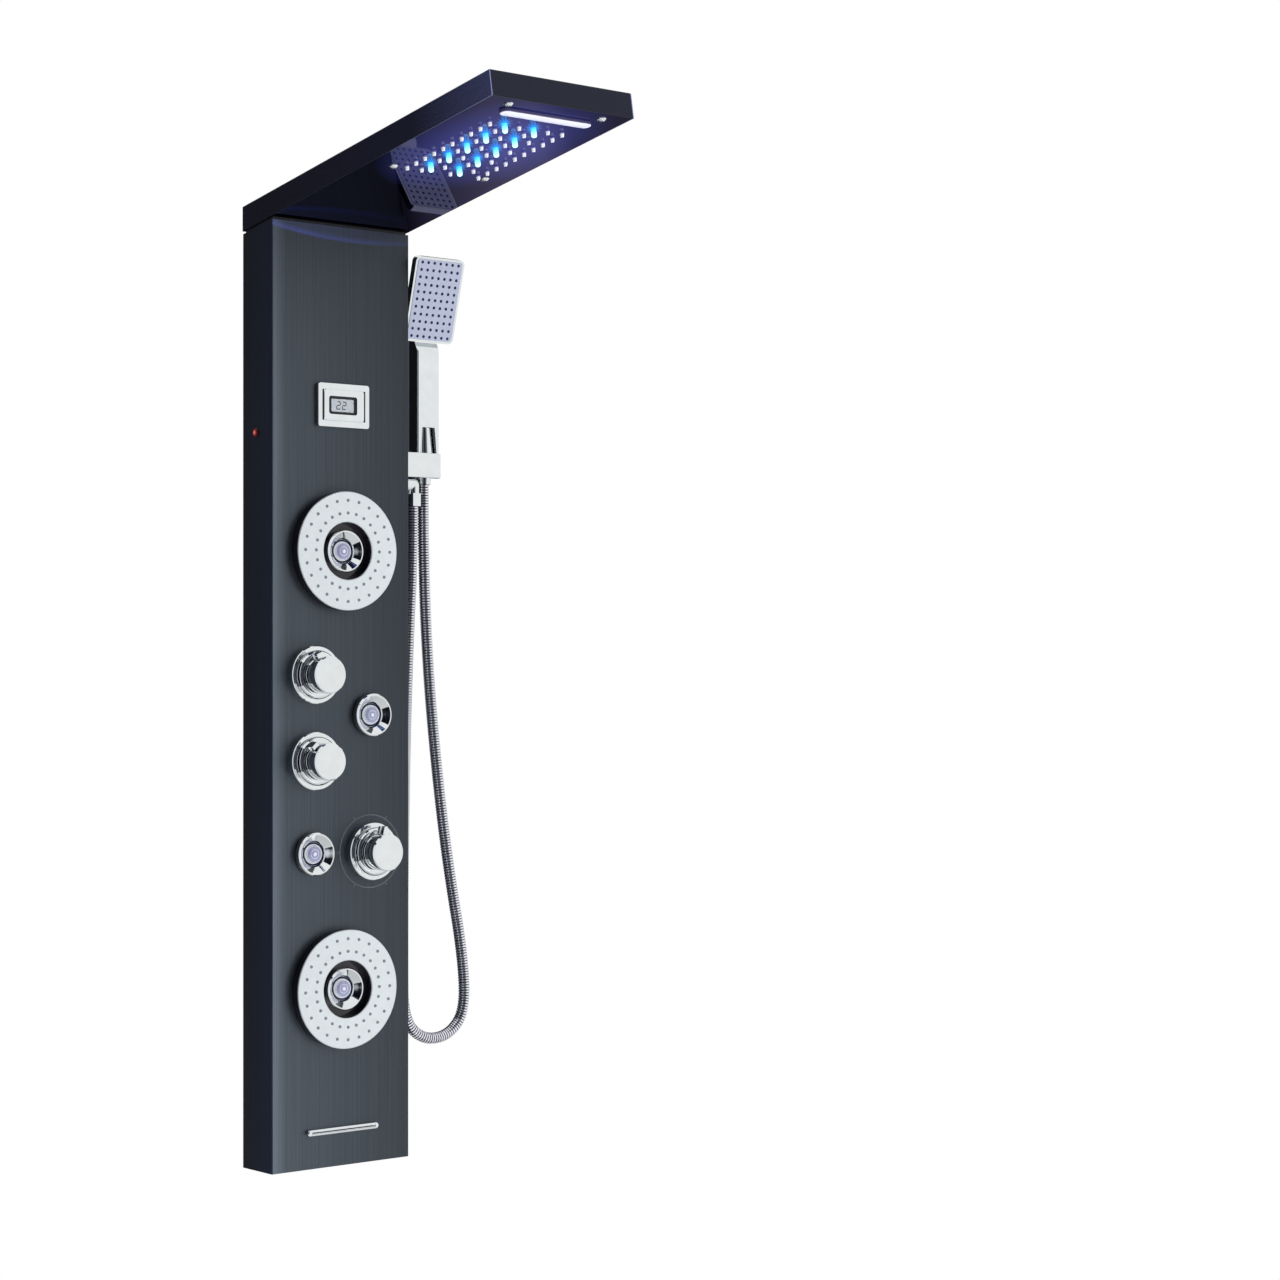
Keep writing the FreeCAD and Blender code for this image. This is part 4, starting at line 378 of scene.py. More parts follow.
# Colour sockets of a mix node
MIX_FIRST = 6
MIX_SECOND = 7
MIX_RESULT = 2

# Floor and soft light
FLOOR_DROP = 0.9
FLOOR_RADIUS = 30.0
FLOOR_STEPS = 96
FLOOR_TONE = (0.8, 0.8, 0.8, 1)
FLOOR_ROUGHNESS = 0.6
FLOOR_FADE = (0.8, 3.5)
SOFT_TONE = (0.95, 0.97, 1.0, 1)
SOFT_STRENGTH = 0.35

# Area lamps: name, place, target, size and power
SOFTBOXES = (
    ("key_softbox", (1.8, -2.6, 1.2), (0, 0, -0.4), (1.6, 2.2), 60),
    ("low_softbox", (0.4, -2.2, -1.6), (0, -0.3, 0.1), (1.6, 0.8), 60),
    ("back_softbox", (0.5, 2.5, 0.8), (0, 0, -0.4), (2.0, 2.0), 30),
)

# Cards that only gloss sees: name, corner, way across, way up and tones by share of the way across
NEAR_BLACK = (0.004, 0.004, 0.010)
DARK_GREY = (0.10, 0.105, 0.115)
DUSK = (0.075, 0.08, 0.115)
DEEP_GREY = (0.15, 0.14, 0.19)
SOFT_GREY = (0.32, 0.30, 0.38)
PALE_GREY = (0.50, 0.47, 0.58)
DIM_GREY = (0.20, 0.19, 0.24)
STRIP = (0.85, 0.88, 0.95)
HALF_GREY = (0.30, 0.31, 0.33)
WHITE = (1.0, 1.0, 1.0)
CARDS = (
    ("left_card", (-1.6, -1.2, -2.0), (0, 2.4, 0), (0, 0, 3.4),
     ((0, STRIP), (0.07, STRIP), (0.11, NEAR_BLACK), (1, NEAR_BLACK))),
    ("front_left_card", (-1.6, -1.2, -2.0), (0.6, -1.55, 0), (0, 0, 3.4),
     ((0, STRIP), (0.10, STRIP), (0.16, NEAR_BLACK), (0.38, NEAR_BLACK), (0.55, DARK_GREY),
      (1, DARK_GREY))),
    ("front_card", (-1.0, -2.75, -1.9), (2.3, 0, 0), (0, 0, 4.1),
     ((0, NEAR_BLACK), (0.28, NEAR_BLACK), (0.40, DARK_GREY), (0.55, DARK_GREY), (0.78, HALF_GREY),
      (1, WHITE))),
    ("left_back_card", (-1.6, 1.2, -2.0), (1.7, 0, 0), (0, 0, 3.4), ((0, DUSK), (1, DUSK))),
    ("right_card", (0.1, 0.6, -1.3), (1.4, 0, 0), (0, 0, 1.65),
     ((0, NEAR_BLACK), (0.38, NEAR_BLACK), (0.43, DEEP_GREY), (0.50, SOFT_GREY), (0.555, PALE_GREY),
      (0.615, PALE_GREY), (0.67, DIM_GREY), (1, DIM_GREY))),
)


# Materials
def blank_material(name):
    """New node material and its main shader."""
    material = bpy.data.materials.new(name)
    material.use_nodes = True
    return material, material.node_tree, material.node_tree.nodes["Principled BSDF"]


def add_node(tree, kind, **values):
    """Node with its settings and inputs by name."""
    node = tree.nodes.new(kind)
    for name, value in values.items():
        if name in node.inputs:
            node.inputs[name].default_value = value
        else:
            setattr(node, name, value)
    return node


def grain(tree, fineness, tilted=False):
    """Noise on object coordinates or the tilted overhead's own, as fine all ways or by axis."""
    place = head_place(tree) if tilted else add_node(tree, "ShaderNodeTexCoord").outputs["Object"]
    stretch = fineness if isinstance(fineness, tuple) else (fineness,) * 3
    mapping = add_node(tree, "ShaderNodeMapping", Scale=stretch)
    noise = add_node(tree, "ShaderNodeTexNoise", Scale=1.0, Detail=GRAIN_DETAIL)
    tree.links.new(place, mapping.inputs["Vector"])
    tree.links.new(mapping.outputs["Vector"], noise.inputs["Vector"])
    return noise.outputs["Fac"]


def ranged(tree, value, low, high):
    """A value in the grain's usual range spread over a new range."""
    return sloped(tree, value, *GRAIN_RANGE, low, high)


def ramped(tree, value, stops):
    """Colour by a value, from stops of share and tone."""
    ramp = add_node(tree, "ShaderNodeValToRGB")
    elements = ramp.color_ramp.elements
    for element, (share, tone) in zip(elements, (stops[0], stops[-1])):
        element.position = share
        element.color = (*tone, 1)
    for share, tone in stops[1:-1]:
        elements.new(share).color = (*tone, 1)
    tree.links.new(value, ramp.inputs["Fac"])
    return ramp.outputs["Color"]


def tinted(tree, value, dark, light):
    """Colour between two tones by a value in the grain's usual range."""
    least, most = GRAIN_RANGE
    return ramped(tree, value, ((least, dark), (most, light)))


def scaled(tree, colour, factor):
    """Colour times a value."""
    node = add_node(tree, "ShaderNodeVectorMath", operation="SCALE")
    tree.links.new(colour, node.inputs[0])
    tree.links.new(factor, node.inputs["Scale"])
    return node.outputs["Vector"]


def multiplied(tree, colour, painted_side_shading):
    """Colour times another colour."""
    node = add_node(tree, "ShaderNodeVectorMath", operation="MULTIPLY")
    tree.links.new(colour, node.inputs[0])
    tree.links.new(painted_side_shading, node.inputs[1])
    return node.outputs["Vector"]


def chosen(tree, share, first, second):
    """First colour where the share is nought, second where it is one."""
    node = add_node(tree, "ShaderNodeMix", data_type="RGBA")
    tree.links.new(share, node.inputs[0])
    tree.links.new(first, node.inputs[MIX_FIRST])
    tree.links.new(second, node.inputs[MIX_SECOND])
    return node.outputs[MIX_RESULT]


def bumped(tree, shader, value, depth):
    """Surface relief from a value."""
    bump = add_node(tree, "ShaderNodeBump", Strength=RELIEF_STRENGTH, Distance=depth)
    tree.links.new(value, bump.inputs["Height"])
    tree.links.new(bump.outputs["Normal"], shader.inputs["Normal"])


def surface(name, dark, light, roughness, fineness, relief=0.0, tilted=False, **sockets):
    """Material with grain in its colour, roughness and relief."""
    material, tree, shader = blank_material(name)
    pattern = grain(tree, fineness, tilted)
    tree.links.new(tinted(tree, pattern, dark, light), shader.inputs["Base Color"])
    tree.links.new(ranged(tree, pattern, *roughness), shader.inputs["Roughness"])
    if relief:
        bumped(tree, shader, pattern, relief)
    for socket, value in sockets.items():
        shader.inputs[socket.replace("_", " ")].default_value = value
    return material


def sloped(tree, value, start, end, low=0.0, high=1.0):
    """A value that runs from low at start to high at end."""
    node = add_node(tree, "ShaderNodeMapRange")
    node.inputs["From Min"].default_value = start
    node.inputs["From Max"].default_value = end
    node.inputs["To Min"].default_value = low
    node.inputs["To Max"].default_value = high
    tree.links.new(value, node.inputs["Value"])
    return node.outputs["Result"]


def combined(tree, operation, first, second):
    """Result of a sum on two values, the second a number or a socket."""
    node = add_node(tree, "ShaderNodeMath", operation=operation)
    tree.links.new(first, node.inputs[0])
    if isinstance(second, float):
        node.inputs[1].default_value = second
    else:
        tree.links.new(second, node.inputs[1])
    return node.outputs["Value"]


def head_place(tree):
    """Coordinates of the tilted overhead: across, towards the wall, up."""
    place = add_node(tree, "ShaderNodeTexCoord")
    back = HEAD_FRAME.inverted()
    mapping = add_node(tree, "ShaderNodeMapping", Location=back.translation, Rotation=back.to_euler())
    tree.links.new(place.outputs["Object"], mapping.inputs["Vector"])
    return mapping.outputs["Vector"]


def axis_of(tree, vector, axis):
    """One coordinate of a vector."""
    split = add_node(tree, "ShaderNodeSeparateXYZ")
    tree.links.new(vector, split.inputs["Vector"])
    return split.outputs[axis]


def product(tree, *values):
    """Product of several values."""
    total = values[0]
    for value in values[1:]:
        total = combined(tree, "MULTIPLY", total, value)
    return total


def on_sides(tree, x):
    """One on the two upright sides of a folded casing, nought elsewhere."""
    return combined(tree, "GREATER_THAN", combined(tree, "ABSOLUTE", x, 0.0), SIDE_FROM)


def casing_finish():
    """Brushed slate sheet with painted light and shade: paler to the left with a painted highlight at the
    left fold, painted shade towards the top under the overhead, lighter towards the bottom, painted
    bluish shade at its sides, and a painted glow of the lamps' light in an arc under the overhead.
    """
    material = surface(
        "slate_brushed_casing", (0.034, 0.042, 0.052), (0.049, 0.058, 0.069), (0.40, 0.50),
        (900, 900, 5), 0.00001, Metallic=0.9, Coat_Weight=0.12, Coat_Roughness=0.12)
    tree = material.node_tree
    shader = tree.nodes["Principled BSDF"]
    brushed = shader.inputs["Base Color"].links[0].from_socket
    place = add_node(tree, "ShaderNodeTexCoord").outputs["Object"]
    x, y, z = [axis_of(tree, place, axis) for axis in "XYZ"]
    # Painted light and shade on the brushed front, by place
    across = sloped(tree, x, *CASING_PAINTED_LIGHT_ACROSS)
    upward = sloped(tree, z, *CASING_PAINTED_SHADE_UPWARD)
    fold = sloped(tree, x, *CASING_FOLD_PAINTED_HIGHLIGHT)
    downward = sloped(tree, z, *CASING_PAINTED_LIGHT_DOWNWARD)
    front = scaled(tree, brushed, product(tree, across, upward, downward, fold))
    # Painted shade on the sides, bluish towards the front
    painted_side_shading = ramped(tree, sloped(tree, y, *SIDE_DEPTH), SIDE_PAINTED_SHADE)
    side = multiplied(tree, front, painted_side_shading)
    tree.links.new(chosen(tree, on_sides(tree, x), front, side), shader.inputs["Base Color"])
    # Painted glow of the lamps' light, as emission in an arc
    aside = combined(tree, "ADD", x, -ARC_MIDDLE)
    bow = combined(tree, "MULTIPLY", product(tree, aside, aside), ARC_BOW)
    rise = combined(tree, "SUBTRACT", combined(tree, "ADD", z, -ARC_LOWEST), bow)
    edge = sloped(tree, rise, *ARC_EDGE)
    above = sloped(tree, rise, *ARC_ABOVE)
    fade = sloped(tree, x, *ARC_FADE)
    facing_room = combined(tree, "LESS_THAN", y, FRONT_SKIN)
    shader.inputs["Emission Color"].default_value = ARC_PAINTED_GLOW
    tree.links.new(product(tree, edge, above, fade, facing_room), shader.inputs["Emission Strength"])
    return material


def head_finish():
    """Dark brushed overhead whose sides are painted paler towards the front, as painted light."""
    material = surface(
        "dark_brushed_overhead", (0.0095, 0.0115, 0.0245), (0.0115, 0.0135, 0.0285), (0.26, 0.32),
        (900, 6, 900), tilted=True, Metallic=0.9, Coat_Weight=0.2, Coat_Roughness=0.06)
    tree = material.node_tree
    shader = tree.nodes["Principled BSDF"]
    front = shader.inputs["Base Color"].links[0].from_socket
    place = add_node(tree, "ShaderNodeTexCoord").outputs["Object"]
    x, y = [axis_of(tree, place, axis) for axis in "XY"]
    # Painted light on the sides, paler towards the front
    painted_side_shading = ramped(tree, sloped(tree, y, FRONT, HEAD_FRONT), HEAD_SIDE_PAINTED_LIGHT)
    side = multiplied(tree, front, painted_side_shading)
    tree.links.new(chosen(tree, on_sides(tree, x), front, side), shader.inputs["Base Color"])
    return material


def painted_lamp_glow(tree):
    """Painted glow in rays round each lamp on the underside, drawn out along one way, from nought to one.
    """
    first_x, first_along = LAMP_FIRST
    step_x, step_along = LAMP_STEP
    cells = add_node(
        tree, "ShaderNodeMapping", Scale=(1 / (step_x * MM), -1 / (step_along * MM), 0),
        Location=(0.5 - first_x / step_x, 0.5 - first_along / step_along, 0))
    tree.links.new(head_place(tree), cells.inputs["Vector"])
    inside = None
    for axis, count in zip("XY", LAMP_COUNT):
        cell = axis_of(tree, cells.outputs["Vector"], axis)
        over = combined(tree, "GREATER_THAN", cell, 0.0)
        under = combined(tree, "LESS_THAN", cell, float(count))
        held = combined(tree, "MULTIPLY", over, under)
        inside = held if inside is None else combined(tree, "MULTIPLY", inside, held)
    share = add_node(tree, "ShaderNodeVectorMath", operation="FRACTION")
    tree.links.new(cells.outputs["Vector"], share.inputs[0])
    spread = add_node(
        tree, "ShaderNodeMapping", Scale=(step_x, step_along, 0),
        Location=(-step_x / 2, -step_along / 2, 0))
    tree.links.new(share.outputs["Vector"], spread.inputs["Vector"])
    turned = add_node(tree, "ShaderNodeMapping", Rotation=(0, 0, LAMP_STREAK_TURN))
    tree.links.new(spread.outputs["Vector"], turned.inputs["Vector"])
    drawn = add_node(tree, "ShaderNodeMapping", Scale=(1 / LAMP_STREAK, 1, 0))
    tree.links.new(turned.outputs["Vector"], drawn.inputs["Vector"])
    reach = add_node(tree, "ShaderNodeVectorMath", operation="LENGTH")
    tree.links.new(drawn.outputs["Vector"], reach.inputs[0])
    sideways, onward = [axis_of(tree, drawn.outputs["Vector"], axis) for axis in "XY"]
    angle = combined(tree, "ARCTAN2", onward, sideways)
    wave = combined(tree, "COSINE", combined(tree, "MULTIPLY", angle, LAMP_RAYS), 0.0)
    ray = sloped(tree, wave, -1.0, 1.0, LAMP_SHORT_RAY, 1.0)
    distance = combined(tree, "DIVIDE", reach.outputs["Value"], ray)
    near = sloped(tree, distance, LAMP_CORE, LAMP_HALO, 1.0, 0.0)
    return product(tree, combined(tree, "POWER", near, LAMP_HALO_POWER), inside)


def painted_field_glow(tree):
    """Painted wide soft glow over the field of lamps, from nought to one."""
    middle_x, middle_along, half_x, half_along = LAMP_FIELD
    field = add_node(
        tree, "ShaderNodeMapping", Scale=(1 / (half_x * MM), 1 / (half_along * MM), 0),
        Location=(-middle_x / half_x, middle_along / half_along, 0))
    far = add_node(tree, "ShaderNodeVectorMath", operation="LENGTH")
    tree.links.new(head_place(tree), field.inputs["Vector"])
    tree.links.new(field.outputs["Vector"], far.inputs[0])
    return sloped(tree, far.outputs["Value"], *LAMP_FIELD_FADE)


def soffit_finish():
    """Polished black underside with a painted glow round each lamp and a painted violet glow over the
    field of lamps.
    """
    material = surface(
        "polished_black_underside", (0.002, 0.002, 0.006), (0.003, 0.003, 0.009), (0.02, 0.04),
        30, Metallic=1.0, Specular_Tint=(0.79, 0.78, 1.0, 1))
    tree = material.node_tree
    shader = tree.nodes["Principled BSDF"]
    # Painted glow of the lamps, as emission on the underside
    lit = add_node(tree, "ShaderNodeVectorMath", operation="ADD")
    tree.links.new(ramped(tree, painted_lamp_glow(tree), ((0, UNLIT), (1, PAINTED_LAMP_BLUE))), lit.inputs[0])
    tree.links.new(ramped(tree, painted_field_glow(tree), ((0, UNLIT), (1, PAINTED_FIELD_VIOLET))), lit.inputs[1])
    tree.links.new(lit.outputs["Vector"], shader.inputs["Emission Color"])
    shader.inputs["Emission Strength"].default_value = 1.0
    return material


def tipped_finish(name, root, tip, start, end):
    """Finish of a piece under the overhead, painted from a shaded root to a lit tip as it hangs down."""
    material, tree, shader = blank_material(name)
    drop = axis_of(tree, head_place(tree), "Z")
    share = sloped(tree, drop, -start * MM, -end * MM, *GRAIN_RANGE)
    tree.links.new(tinted(tree, share, root, tip), shader.inputs["Base Color"])
    rough = ranged(tree, grain(tree, TIPPED_GRAIN), *TIPPED_ROUGHNESS)
    tree.links.new(rough, shader.inputs["Roughness"])
    return material


def lamp_finish():
    """Lit lamp lens, brightest at its end."""
    material, tree, shader = blank_material("lit_lamp_lens")
    drop = axis_of(tree, head_place(tree), "Z")
    depth = sloped(tree, drop, -LAMP_ROOT * MM, -LAMP_HANG * MM, *GRAIN_RANGE)
    colour = tinted(tree, depth, LAMP_ROOT_TONE, LAMP_TIP_TONE)
    tree.links.new(colour, shader.inputs["Base Color"])
    tree.links.new(colour, shader.inputs["Emission Color"])
    tree.links.new(sloped(tree, drop, *LAMP_STRENGTH), shader.inputs["Emission Strength"])
    shader.inputs["Roughness"].default_value = LENS_ROUGHNESS
    return material


def make_materials():
    """Every finish of the shower panel, by name."""
    finishes = {"casing": casing_finish(), "head": head_finish(), "soffit": soffit_finish()}
    for finish, (*values, sockets) in PLAIN_FINISHES.items():
        finishes[finish] = surface(*values, **sockets)
    for finish, values in TIPPED_FINISHES.items():
        finishes[finish] = tipped_finish(*values)
    finishes["lamp"] = lamp_finish()
    finishes["amber"] = pilot_finish()
    return finishes


def pilot_finish():
    """Small red lens, lit at its middle and dark at its collar."""
    material, tree, shader = blank_material("lit_pilot_lens")
    place = add_node(tree, "ShaderNodeTexCoord")
    y, z = PILOT_PLACE
    centred = add_node(tree, "ShaderNodeMapping", Location=(0, -y, -z), Scale=(0, 1, 1))
    reach = add_node(tree, "ShaderNodeVectorMath", operation="LENGTH")
    tree.links.new(place.outputs["Object"], centred.inputs["Vector"])
    tree.links.new(centred.outputs["Vector"], reach.inputs[0])
    colour = ramped(tree, sloped(tree, reach.outputs["Value"], 0.0, PILOT_RADIUS), PILOT_TONES)
    tree.links.new(colour, shader.inputs["Base Color"])
    tree.links.new(colour, shader.inputs["Emission Color"])
    shader.inputs["Emission Strength"].default_value = PILOT_STRENGTH
    shader.inputs["Roughness"].default_value = LENS_ROUGHNESS
    return material


NODE_FINISH = {
    "casing": ("panel_shell", "bottom_cap", "top_cap"),
    "head": ("head_shell",),
    "satin": ("waterfall_spout",),
    "black": ("upper_disc_body", "lower_disc_body"),
    "soffit": ("head_soffit",),
    "seal": ("neck_gasket", "jet_gaskets"),
    "steel": ("wall_brackets", "hanger_rails"),
    "chrome": ("soffit_screws", "jet_cups", "knob_flanges", "hot_knob", "cold_knob",
               "diverter_knob", "bath_spout", "hose_outlet", "hose_nut", "hose_cone_nut",
               "handset_holder", "handset_body", "display_bezel",
               "upper_jet_ball", "lower_jet_ball", "right_jet_ball", "left_jet_ball"),
    "plate": ("upper_disc_face", "lower_disc_face"),
    "face": ("handset_face",),
    "lens": ("upper_jet_nozzle", "lower_jet_nozzle", "right_jet_nozzle", "left_jet_nozzle"),
    "silicone": ("rain_nozzles",),
    "lamp": ("lamp_lenses",),
    "rubber_and_hole_shade": ("display_window",),
    "brass": ("valve_body", "diverter_body", "valve_cartridges", "diverter_cartridge", "hot_spindle",
              "cold_spindle", "diverter_spindle", "ring_nuts", "jet_back_nuts"),
    "tube": ("mixed_tube", "rain_tube", "waterfall_tube", "jet_tubes", "handset_tube", "spout_tube"),
    "housing": ("display_module", "hydro_generator", "lamp_strips", "rain_chamber"),
    "amber": ("pilot_lamp",),
}


def dress_nodes(finishes):
    """Give every solid its finish."""
    for finish, names in NODE_FINISH.items():
        for name in names:
            slots = nodes[name].data.materials
            if slots:
                slots[0] = finishes[finish]
            else:
                slots.append(finishes[finish])


# Pieces
def new_piece(name, shape, material, smooth=False):
    """Object at the origin from a bmesh."""
    mesh = bpy.data.meshes.new(name)
    shape.to_mesh(mesh)
    shape.free()
    mesh.materials.append(material)
    if smooth:
        mesh.shade_smooth()
    piece = bpy.data.objects.new(name, mesh)
    bpy.context.scene.collection.objects.link(piece)
    return piece


def route_points():
    """Points read from the hose's smooth line."""
    curve = bpy.data.curves.new("hose_line", "CURVE")
    curve.dimensions = "3D"
    curve.resolution_u = ROUTE_STEPS
    spline = curve.splines.new("NURBS")
    spline.points.add(len(HOSE_ROUTE) - 1)
    for point, (x, y, height) in zip(spline.points, HOSE_ROUTE):
        point.co = (x * MM, y * MM, height * MM - HANG, 1)
    spline.order_u = ROUTE_ORDER
    spline.use_endpoint_u = True
    line = bpy.data.objects.new("hose_line", curve)
    bpy.context.scene.collection.objects.link(line)
    bpy.context.view_layer.update()
    mesh = bpy.data.meshes.new_from_object(line)
    points = [vertex.co.copy() for vertex in mesh.vertices]
    bpy.data.objects.remove(line)
    return points


def along_line(points, distance):
    """Place and direction at a distance along a line of points."""
    for start, end in zip(points, points[1:]):
        run = (end - start).length
        if distance <= run:
            return start.lerp(end, distance / run), (end - start).normalized()
        distance -= run
    return points[-1], (points[-1] - points[-2]).normalized()


def ring_frame(place, direction):
    """Frame square to the hose, with its first axis towards the wall."""
    side = (Vector((0, 1, 0)) - direction * direction.y).normalized()
    third = direction.cross(side)
    turn = Matrix((side, third, direction)).transposed().to_4x4()
    return Matrix.Translation(place) @ turn


def line_length(points):
    """Length along a line of points."""
    return sum((end - start).length for start, end in zip(points, points[1:]))


def ribbed_tube(points, length, crest, valley):
    """Ribbed skin along a line: a grid rolled into a tube, its grooves in the second material, darker as
    painted shade.
    """
    ribs = round(length / HOSE_RIB_PITCH)
    shoulder = valley + RIB_SHOULDER * (crest - valley)
    section = tuple(zip(RIB_SHARES, (valley, shoulder, crest, crest, shoulder)))
    rings = []
    for rib in range(ribs):
        for share, radius in section:
            rings.append((length * (rib + share) / ribs, radius))
    rings.append((length, valley))
    runs = len(rings) - 1
    frames = [ring_frame(*along_line(points, distance)) for distance, radius in rings]
    skin = bmesh.new()
    bmesh.ops.create_grid(skin, x_segments=runs, y_segments=HOSE_SIDES, size=0.5)
    for face in skin.faces:
        run = int((face.calc_center_median().x + 0.5) * runs)
        face.smooth = True
        # Groove faces take the darker second material, painted shade in the creases
        if run % len(section) in (0, len(section) - 1):
            face.material_index = 1
    # Smooth round the hose, crisp from ring to ring
    for edge in skin.edges:
        start, end = edge.verts
        edge.smooth = abs(start.co.x - end.co.x) > 0.5 / runs
    for vert in skin.verts:
        ring = round((vert.co.x + 0.5) * runs)
        angle = 2 * math.pi * (vert.co.y + 0.5)
        around = Vector((math.cos(angle), math.sin(angle), 0)) * rings[ring][1]
        vert.co = frames[ring] @ around
    bmesh.ops.remove_doubles(skin, verts=skin.verts, dist=CLOSE)
    rims = [edge for edge in skin.edges if edge.is_boundary]
    bmesh.ops.holes_fill(skin, edges=rims, sides=0)
    bmesh.ops.recalc_face_normals(skin, faces=skin.faces)
    return skin


def make_hose(finishes):
    """Chrome hose in place of its solid, and the tail that a lifted hand shower draws out of it."""
    points = route_points()
    length = line_length(points)
    # The skins bring their own smooth faces and crisp rings
    skin = ribbed_tube(points, length, HOSE_CREST, HOSE_VALLEY)
    hose = new_piece("ribbed_hose", skin, finishes["rib"])
    skin = ribbed_tube(points, TAIL_LENGTH, TAIL_CREST, TAIL_VALLEY)
    tail = new_piece("hose_tail", skin, finishes["rib"])
    for piece, body in ((hose, "panel"), (tail, "hand_shower")):
        piece.data.materials.append(finishes["groove"])
        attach(piece, body)
    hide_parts("shower_hose")


def facing(place, direction):
    """Frame at a place whose Z axis points in a direction."""
    turn = Vector((0, 0, 1)).rotation_difference(direction)
    return Matrix.Translation(place) @ turn.to_matrix().to_4x4()


def add_cone(shape, frame, size, sides):
    """Cone that stands on a frame's XY plane, from its radii and height in millimetres."""
    base, tip, height = [length * MM for length in size]
    centre = frame @ Matrix.Translation((0, 0, height / 2))
    bmesh.ops.create_cone(
        shape, cap_ends=True, segments=sides, radius1=base, radius2=tip, depth=height, matrix=centre)


def add_block(shape, frame, size):
    """Box centred on a frame, from its size in millimetres."""
    lengths = [length * MM for length in size]
    bmesh.ops.create_cube(shape, size=1.0, matrix=frame @ Matrix.Diagonal((*lengths, 1)))


def add_ring(shape, frame, radius, thickness, steps, sides):
    """Ring of round section about a frame's Z axis, from millimetres."""
    start = Matrix.Translation((radius * MM, 0, 0)) @ Matrix.Rotation(math.pi / 2, 4, "X")
    section = bmesh.ops.create_circle(
        shape, segments=sides, radius=thickness * MM / 2, matrix=frame @ start)["verts"]
    edges = list({edge for vert in section for edge in vert.link_edges})
    axis = frame.to_3x3() @ Vector((0, 0, 1))
    bmesh.ops.spin(
        shape, geom=section + edges, cent=frame.translation, axis=axis, angle=2 * math.pi, steps=steps,
        use_merge=True)


def round_edges(shape, edges, radius, steps):
    """Round some edges of a shape, from millimetres."""
    bmesh.ops.bevel(
        shape, geom=edges, offset=radius * MM, segments=steps, profile=0.5, affect="EDGES", material=-1)


def finish_piece(name, shape, material, body, smooth=False):
    """Turn a small piece's faces outwards, dress it and put it on its body."""
    bmesh.ops.recalc_face_normals(shape, faces=shape.faces)
    piece = new_piece(name, shape, material, smooth)
    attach(piece, body)
    return piece


def front_place(x, y, z):
    """Frame at a place in millimetres that looks into the room."""
    return facing(Vector((x, y, z)) * MM, OUT)


def make_disc_nubs(finishes):
    """Rubber nubs in the spray discs' two rings of holes."""
    y = DISC_FRONT + DISC_NUB_SUNK
    for side in ("upper", "lower"):
        x, z = JETS[side]
        shape = bmesh.new()
        for radius in DISC_DOT_RINGS:
            for dot in range(DISC_DOTS):
                angle = 2 * math.pi * dot / DISC_DOTS
                place = (x + radius * math.cos(angle), y, z + radius * math.sin(angle))
                add_cone(shape, front_place(*place), DISC_NUB, NUB_SIDES)
        finish_piece(f"{side}_disc_nubs", shape, finishes["nub"], "panel")


def make_spray_hole_shade(finishes):
    """Dark cones in the hand shower's face, painted shade in its outlet holes."""
    shape = bmesh.new()
    for column in range(SPRAY_COLUMNS):
        x = (column - (SPRAY_COLUMNS - 1) / 2) * SPRAY_PITCH
        for row in range(SPRAY_ROWS):
            z = SPRAY_MIDDLE + (row - (SPRAY_ROWS - 1) / 2) * SPRAY_PITCH
            frame = SPRAY_FRAME @ front_place(x, SPRAY_SHADE_CONE_SUNK, z)
            add_cone(shape, frame, SPRAY_SHADE_CONE, NUB_SIDES)
    finish_piece("spray_hole_shade_cones", shape, finishes["rubber_and_hole_shade"], "hand_shower")


def make_jet_details(finishes):
    """Wiper ring round each jet's ball, and the ridges and clear centre of its lens."""
    radius, y = BALL_EDGE
    wipers = bmesh.new()
    for side, (x, z) in JETS.items():
        body = f"{side}_jet"
        add_ring(wipers, front_place(x, y, z), radius, WIPER_THICKNESS, RING_STEPS, RING_SIDES)
        ridge = bmesh.new()
        rim = front_place(x, LENS_RIM - RIM_RIDGE_PROUD, z)
        add_ring(ridge, rim, LENS_RADIUS - RIM_RIDGE_INSET, RIM_RIDGE_THICKNESS, RING_STEPS, RING_SIDES)
        inner = front_place(x, LENS_APEX + INNER_RIDGE_SUNK, z)
        add_ring(ridge, inner, INNER_RIDGE_RADIUS, INNER_RIDGE_THICKNESS, SMALL_RING_STEPS, RING_SIDES)
        finish_piece(f"{side}_jet_ridge", ridge, finishes["ridge"], body, smooth=True)
        eye = bmesh.new()
        add_cone(eye, front_place(x, LENS_APEX + EYE_SUNK, z), EYE, EYE_SIDES)
        finish_piece(f"{side}_jet_eye", eye, finishes["eye"], body)
    finish_piece("jet_wiper_rings", wipers, finishes["rubber_and_hole_shade"], "panel", smooth=True)


